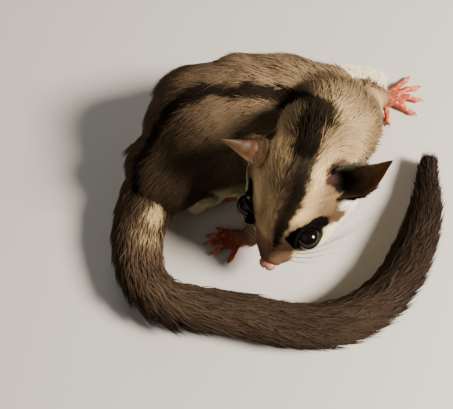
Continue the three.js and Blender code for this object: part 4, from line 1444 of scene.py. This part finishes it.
EAR_ROOT = vec(-2.4, 11.6, 3.6)
EAR_TURN = {
    "left": (unit(vec(-0.78, 0.6, 0.32)), vec(0.5, 0.1, 0.85), 1),
    "right": (unit(vec(-0.24, 0.2, 0.95)), vec(0.75, 0.6, -0.2), -1),
}
EAR_STOPS = (0, 0.12, 0.3, 0.5, 0.7, 0.86, 0.96, 1)
EAR_FRONT = (0.5, 0.72, 0.9, 0.78, 0.48, 0.22, 0.08, 0.01)
EAR_BACK = (0.5, 0.66, 0.66, 0.42, 0.22, 0.12, 0.05, 0.01)
EAR_CUP = (4.6, 4.6, 4, 3, 2.1, 1.2, 0.5, 0.1)
EAR_WALL = 0.45
EAR_ROWS = 56
EAR_COLUMNS = 33
EAR_BROWN = vec(0.13, 0.062, 0.026)
# The colour of the painted shade deep in the ear's cup
EAR_CUP_SHADE = vec(0.018, 0.01, 0.009)
# The colour of the painted light along the ear's edges
EAR_EDGE_HIGHLIGHT = vec(0.3, 0.17, 0.09)
# How long and how light the hair of each ear is: the right one's is short, and dark as painted shade
EAR_HAIR = {"left": (1, 1), "right": (0.5, 0.45)}


def softened(values, times=3):
    for _ in range(times):
        padded = np.pad(values, 1, mode="reflect", reflect_type="odd")
        values = (padded[:-2] + 2 * padded[1:-1] + padded[2:]) / 4
    return values


def ear_grid(side, axis, faces_to, front):
    """Places on the inner and outer face of the ear, rows from root to tip and columns across."""
    opens = unit(faces_to - (faces_to @ axis) * axis)
    wide = np.cross(axis, opens)
    root = EAR_ROOT - 2 * axis
    middle = root + axis * EAR_LENGTH * 0.6 - 1.2 * opens + 1.3 * front * wide
    tip = root + axis * (EAR_LENGTH + 2) + 0.8 * opens + 0.3 * front * wide
    line = spread([root, middle, tip], EAR_ROWS)
    stops = np.linspace(0, 1, EAR_ROWS)[:, None]
    sideways = np.linspace(-1, 1, EAR_COLUMNS)[None]
    halves = [softened(np.interp(stops[:, 0], EAR_STOPS, table)) for table in (EAR_FRONT, EAR_BACK)]
    half = np.where(sideways * front > 0, halves[0][:, None], halves[1][:, None]) * EAR_WIDTH / 2
    cup = softened(np.interp(stops[:, 0], EAR_STOPS, EAR_CUP))[:, None]
    hollow = 1 - sideways**2
    folds = 0.2 * np.sin(stops * 46 + 2.5 * sideways**2) * hollow
    folds = folds * ramp(stops, 0.25, 0.4) * (1 - ramp(stops, 0.66, 0.85))
    rim = 0.5 * bell(1 - sideways * front, 0.14) * (1 - ramp(stops, 0.55, 0.9))
    notch = -0.9 * bell(sideways * front - 0.55, 0.2) * bell(stops - 0.24, 0.1)
    height = 0.62 - cup * hollow + folds + rim - notch
    wall = EAR_WALL * (1 - 0.7 * np.abs(sideways) ** 6) * mix(1.25, 0.6, stops)
    grid = line[:, None] + (half * sideways)[..., None] * wide
    faces = [grid + height[..., None] * opens, grid + (height - wall)[..., None] * opens]
    points = np.stack(faces).reshape(-1, 3)
    points[:, 1] *= side
    return points


def ear_faces(side):
    size = EAR_ROWS * EAR_COLUMNS
    n = np.arange(size).reshape(EAR_ROWS, EAR_COLUMNS)
    a, b, c, d = n[:-1, :-1], n[1:, :-1], n[1:, 1:], n[:-1, 1:]
    quads = [np.stack([a, b, c, d], axis=-1).reshape(-1, 4)]
    quads.append(quads[0][:, ::-1] + size)
    rim = np.concatenate([n[0], n[1:, -1], n[-1, -2::-1], n[-2:0:-1, 0]])
    after = np.roll(rim, -1)
    quads.append(np.stack([rim, after, after + size, rim + size], axis=1))
    quads = np.concatenate(quads)
    return quads[:, ::-1] if side > 0 else quads


def ear(name, look):
    side = 1 if name == "left" else -1
    axis, faces_to, front = EAR_TURN[name]
    points = from_head(ear_grid(side, axis, faces_to, front))
    quads = ear_faces(side)
    level = np.tile(np.repeat(np.linspace(0, 1, EAR_ROWS), EAR_COLUMNS), 2)
    edge = np.tile(np.abs(np.linspace(-1, 1, EAR_COLUMNS)), 2 * EAR_ROWS)
    inside = np.repeat([1.0, 0.0], EAR_ROWS * EAR_COLUMNS)
    colour = np.repeat(EAR_BROWN[None], len(points), axis=0)
    paint = brush(colour)
    # Deep in the cup, near the root: painted shade
    paint(EAR_CUP_SHADE, inside * (1 - ramp(level, 0.2, 0.42)) * (1 - 0.6 * ramp(edge, 0.6, 1)))
    # Along the edges: painted light
    paint(EAR_EDGE_HIGHLIGHT, 0.6 * ramp(edge, 0.86, 1) * (1 - ramp(level, 0.6, 0.9)))
    paint(EAR_BROWN * 0.4, 0.7 * ramp(level, 0.7, 1))
    # The outer face is halved in brightness as painted shade
    colour = colour * ((1 + 0.12 * waves(points, 1.5, 61)) * mix(0.5, 1, inside))[:, None]
    made = build(f"ear_{name}_cup", points, quads, colour, look)
    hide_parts(f"ear_{name}")
    return points, quads, level, inside


EAR_LOOK = ear_material()
EARS = {name: ear(name, EAR_LOOK) for name in EAR_TURN}


def ear_coat(name, count=5600):
    """Short hair on the back of the ear, thick at its root and thin to its middle."""
    points, quads, level, inside = EARS[name]
    weight = corner_area(points, quads) * (1 - ramp(level[quads].mean(axis=1), 0.2, 0.55))
    weight = weight * (inside[quads].mean(axis=1) < 0.9)
    root, chosen = scatter(points, quads, weight, count)
    a, b, c, d = (points[quads[chosen, n]] for n in range(4))
    out = unit(np.cross(c - a, d - b))
    keep = skin_field(root) > -0.3
    root, out = root[keep], out[keep]
    side = 1 if name == "left" else -1
    axis = EAR_TURN[name][0] * vec(1, side, 1)
    way = across(axis @ HEAD_AXES + 0.25 * rng.normal(size=root.shape), out)
    long, light = EAR_HAIR[name]
    length = long * rng.uniform(1.4, 2.8, len(root))
    # The right ear's hair is darkened as painted shade
    colour = light * DARK_BROWN * rng.uniform(0.5, 1.2, (len(root), 1))
    grow(f"coat_ear_{name}", (root, out, way, length, 0.26, 0.3, colour))


def ear_tuft(name, count=520):
    """Longer hair that stands along the ear's back edge, near its root; the left ear's is cream, the
    right ear's dark brown as painted shade.
    """
    inner, outer = EARS[name][0].reshape(2, EAR_ROWS, EAR_COLUMNS, 3)
    axis, _, front = EAR_TURN[name]
    side = 1 if name == "left" else -1
    row = rng.integers(10, 29, count)
    step = rng.integers(0, 5, count)
    if front < 0:
        step, edge, within = EAR_COLUMNS - 1 - step, EAR_COLUMNS - 1, EAR_COLUMNS - 9
    else:
        edge, within = 0, 8
    root = outer[row, step] + 0.15 * rng.normal(size=(count, 3))
    out = unit(outer[row, step] - inner[row, step])
    past = unit(outer[row, edge] - outer[row, within])
    upward = (axis * vec(1, side, 1)) @ HEAD_AXES
    way = across(upward + 0.45 * past + 0.15 * rng.normal(size=root.shape), out)
    long, light = EAR_HAIR[name]
    length = long * rng.uniform(2.0, 3.2, count)
    # The right ear's edge hair is dark brown, not cream, as painted shade
    tint = CREAM if side > 0 else DARK_BROWN
    colour = light * tint * rng.uniform(0.75, 1.05, (count, 1))
    grow(f"coat_ear_edge_{name}", (root, out, way, length, 0.22, 0.25, colour))


for ear_name in EARS:
    ear_coat(ear_name)
    ear_tuft(ear_name)

# Claws: curved tapered hooks at the ends of the digits


def claws():
    made = []
    for line in sum(DIGITS.values(), []):
        way = unit(line[-1] - line[14])
        way[2] = 0
        base = line[16] + vec(0, 0, 0.12)
        tip = base + 2.15 * way
        tip[2] = 0.12
        hook = [base, base + 0.7 * way + vec(0, 0, 0.32), base + 1.5 * way + vec(0, 0, 0.1), tip]
        made.append(tube(spread(hook, 12), np.linspace(0.42, 0.03, 12), 8))
    points, faces = joined(made)
    colour = np.repeat(vec(0.12, 0.085, 0.06)[None], len(points), axis=0)
    build("claws", points, faces, colour, horn_material())


claws()

# Whiskers: from the pads beside the nose, over the eyes and on the cheeks


def whiskers():
    made = []
    for side in (1, -1):
        for row in range(4):
            for n in range(5):
                x = 26.2 - 1.5 * n + 0.3 * row
                z = -3.6 - 1.15 * row
                begin = root_on_head(vec(x, 0, z), vec(0.1, 1, 0.05))
                length = (8 + 2.4 * n) * rng.uniform(0.8, 1.1)
                way = unit(vec(-0.05 - 0.2 * n, 1.0, 0.3 - 0.2 * row))
                made.append(hair(begin, way, length, side, 0.045))
        for n in range(2):
            begin = root_on_head(vec(14 - 2.2 * n, 3.0 + n, 2), vec(0, 0.45, 1))
            made.append(hair(begin, unit(vec(-0.25 - 0.1 * n, 0.45, 1)), 8, side, 0.04))
    points, faces = joined(made)
    points[:, 2] = np.maximum(points[:, 2], 0.2)
    colour = np.repeat(vec(0.02, 0.015, 0.012)[None], len(points), axis=0)
    build("whiskers", points, faces, colour, whisker_material())


def root_on_head(inside, way):
    way = unit(way)
    reach = 0.0
    for _ in range(30):
        reach -= CREEP * float(face_field((inside + reach * way)[None])[0])
    return inside + reach * way


def hair(begin, way, length, side, thick):
    t = np.linspace(0, 1, 12)[:, None]
    droop = vec(-0.35, 0, -0.12) * length * t**2
    line = begin + way * length * t + droop
    line[:, 1] *= side
    return tube(from_head(line), np.linspace(thick, 0.018, 12), 5)


whiskers()

# Floor, light and camera, in metres


def plain_floor():
    mesh = bpy.data.meshes.new("floor")
    half, low = 1.5, -0.0001
    corners = [(-half, -half, low), (half, -half, low), (half, half, low), (-half, half, low)]
    mesh.from_pydata(corners, [], [(0, 1, 2, 3)])
    made = placed("floor", mesh)
    material, tree, shade = shader("floor_pale", Roughness=0.6, Base_Color=(0.6, 0.57, 0.53, 1))
    bump(tree, shade, noise(tree, 4), 0.02)
    mesh.materials.append(material)


def area_light(name, place, size, power, colour):
    data = bpy.data.lights.new(name, "AREA")
    data.shape = "DISK"
    data.size = size
    data.energy = power
    data.color = colour
    made = placed(name, data)
    made.location = place
    aim = Vector((0, 0, 0.02)) - Vector(place)
    made.rotation_euler = aim.to_track_quat("-Z", "Y").to_euler()


plain_floor()
area_light("key", (0.42, -0.13, 0.42), 0.18, 11.5, (1.0, 0.92, 0.8))
area_light("fill", (-0.45, -0.35, 0.5), 0.6, 0.35, (0.95, 0.97, 1.0))
area_light("back", (-0.1, 0.6, 0.35), 0.4, 1.0, (1.0, 0.96, 0.9))

world = bpy.data.worlds.new("studio")
world.use_nodes = True
sky = world.node_tree.nodes["Background"].inputs
sky["Color"].default_value = (0.85, 0.83, 0.8, 1)
sky["Strength"].default_value = 0.14
bpy.context.scene.world = world

camera_data = bpy.data.cameras.new("camera")
camera_data.sensor_width = 36.0
camera_data.lens = camera_data.sensor_width * FOCAL_PIXELS / PHOTO_SIZE[0]
camera_data.clip_start = 0.01
camera = placed("camera", camera_data)
camera.location = (SHIFT + CAMERA) * MM
camera.rotation_euler = (np.pi / 2 - CAMERA_DOWN, 0, 0)
bpy.context.scene.camera = camera
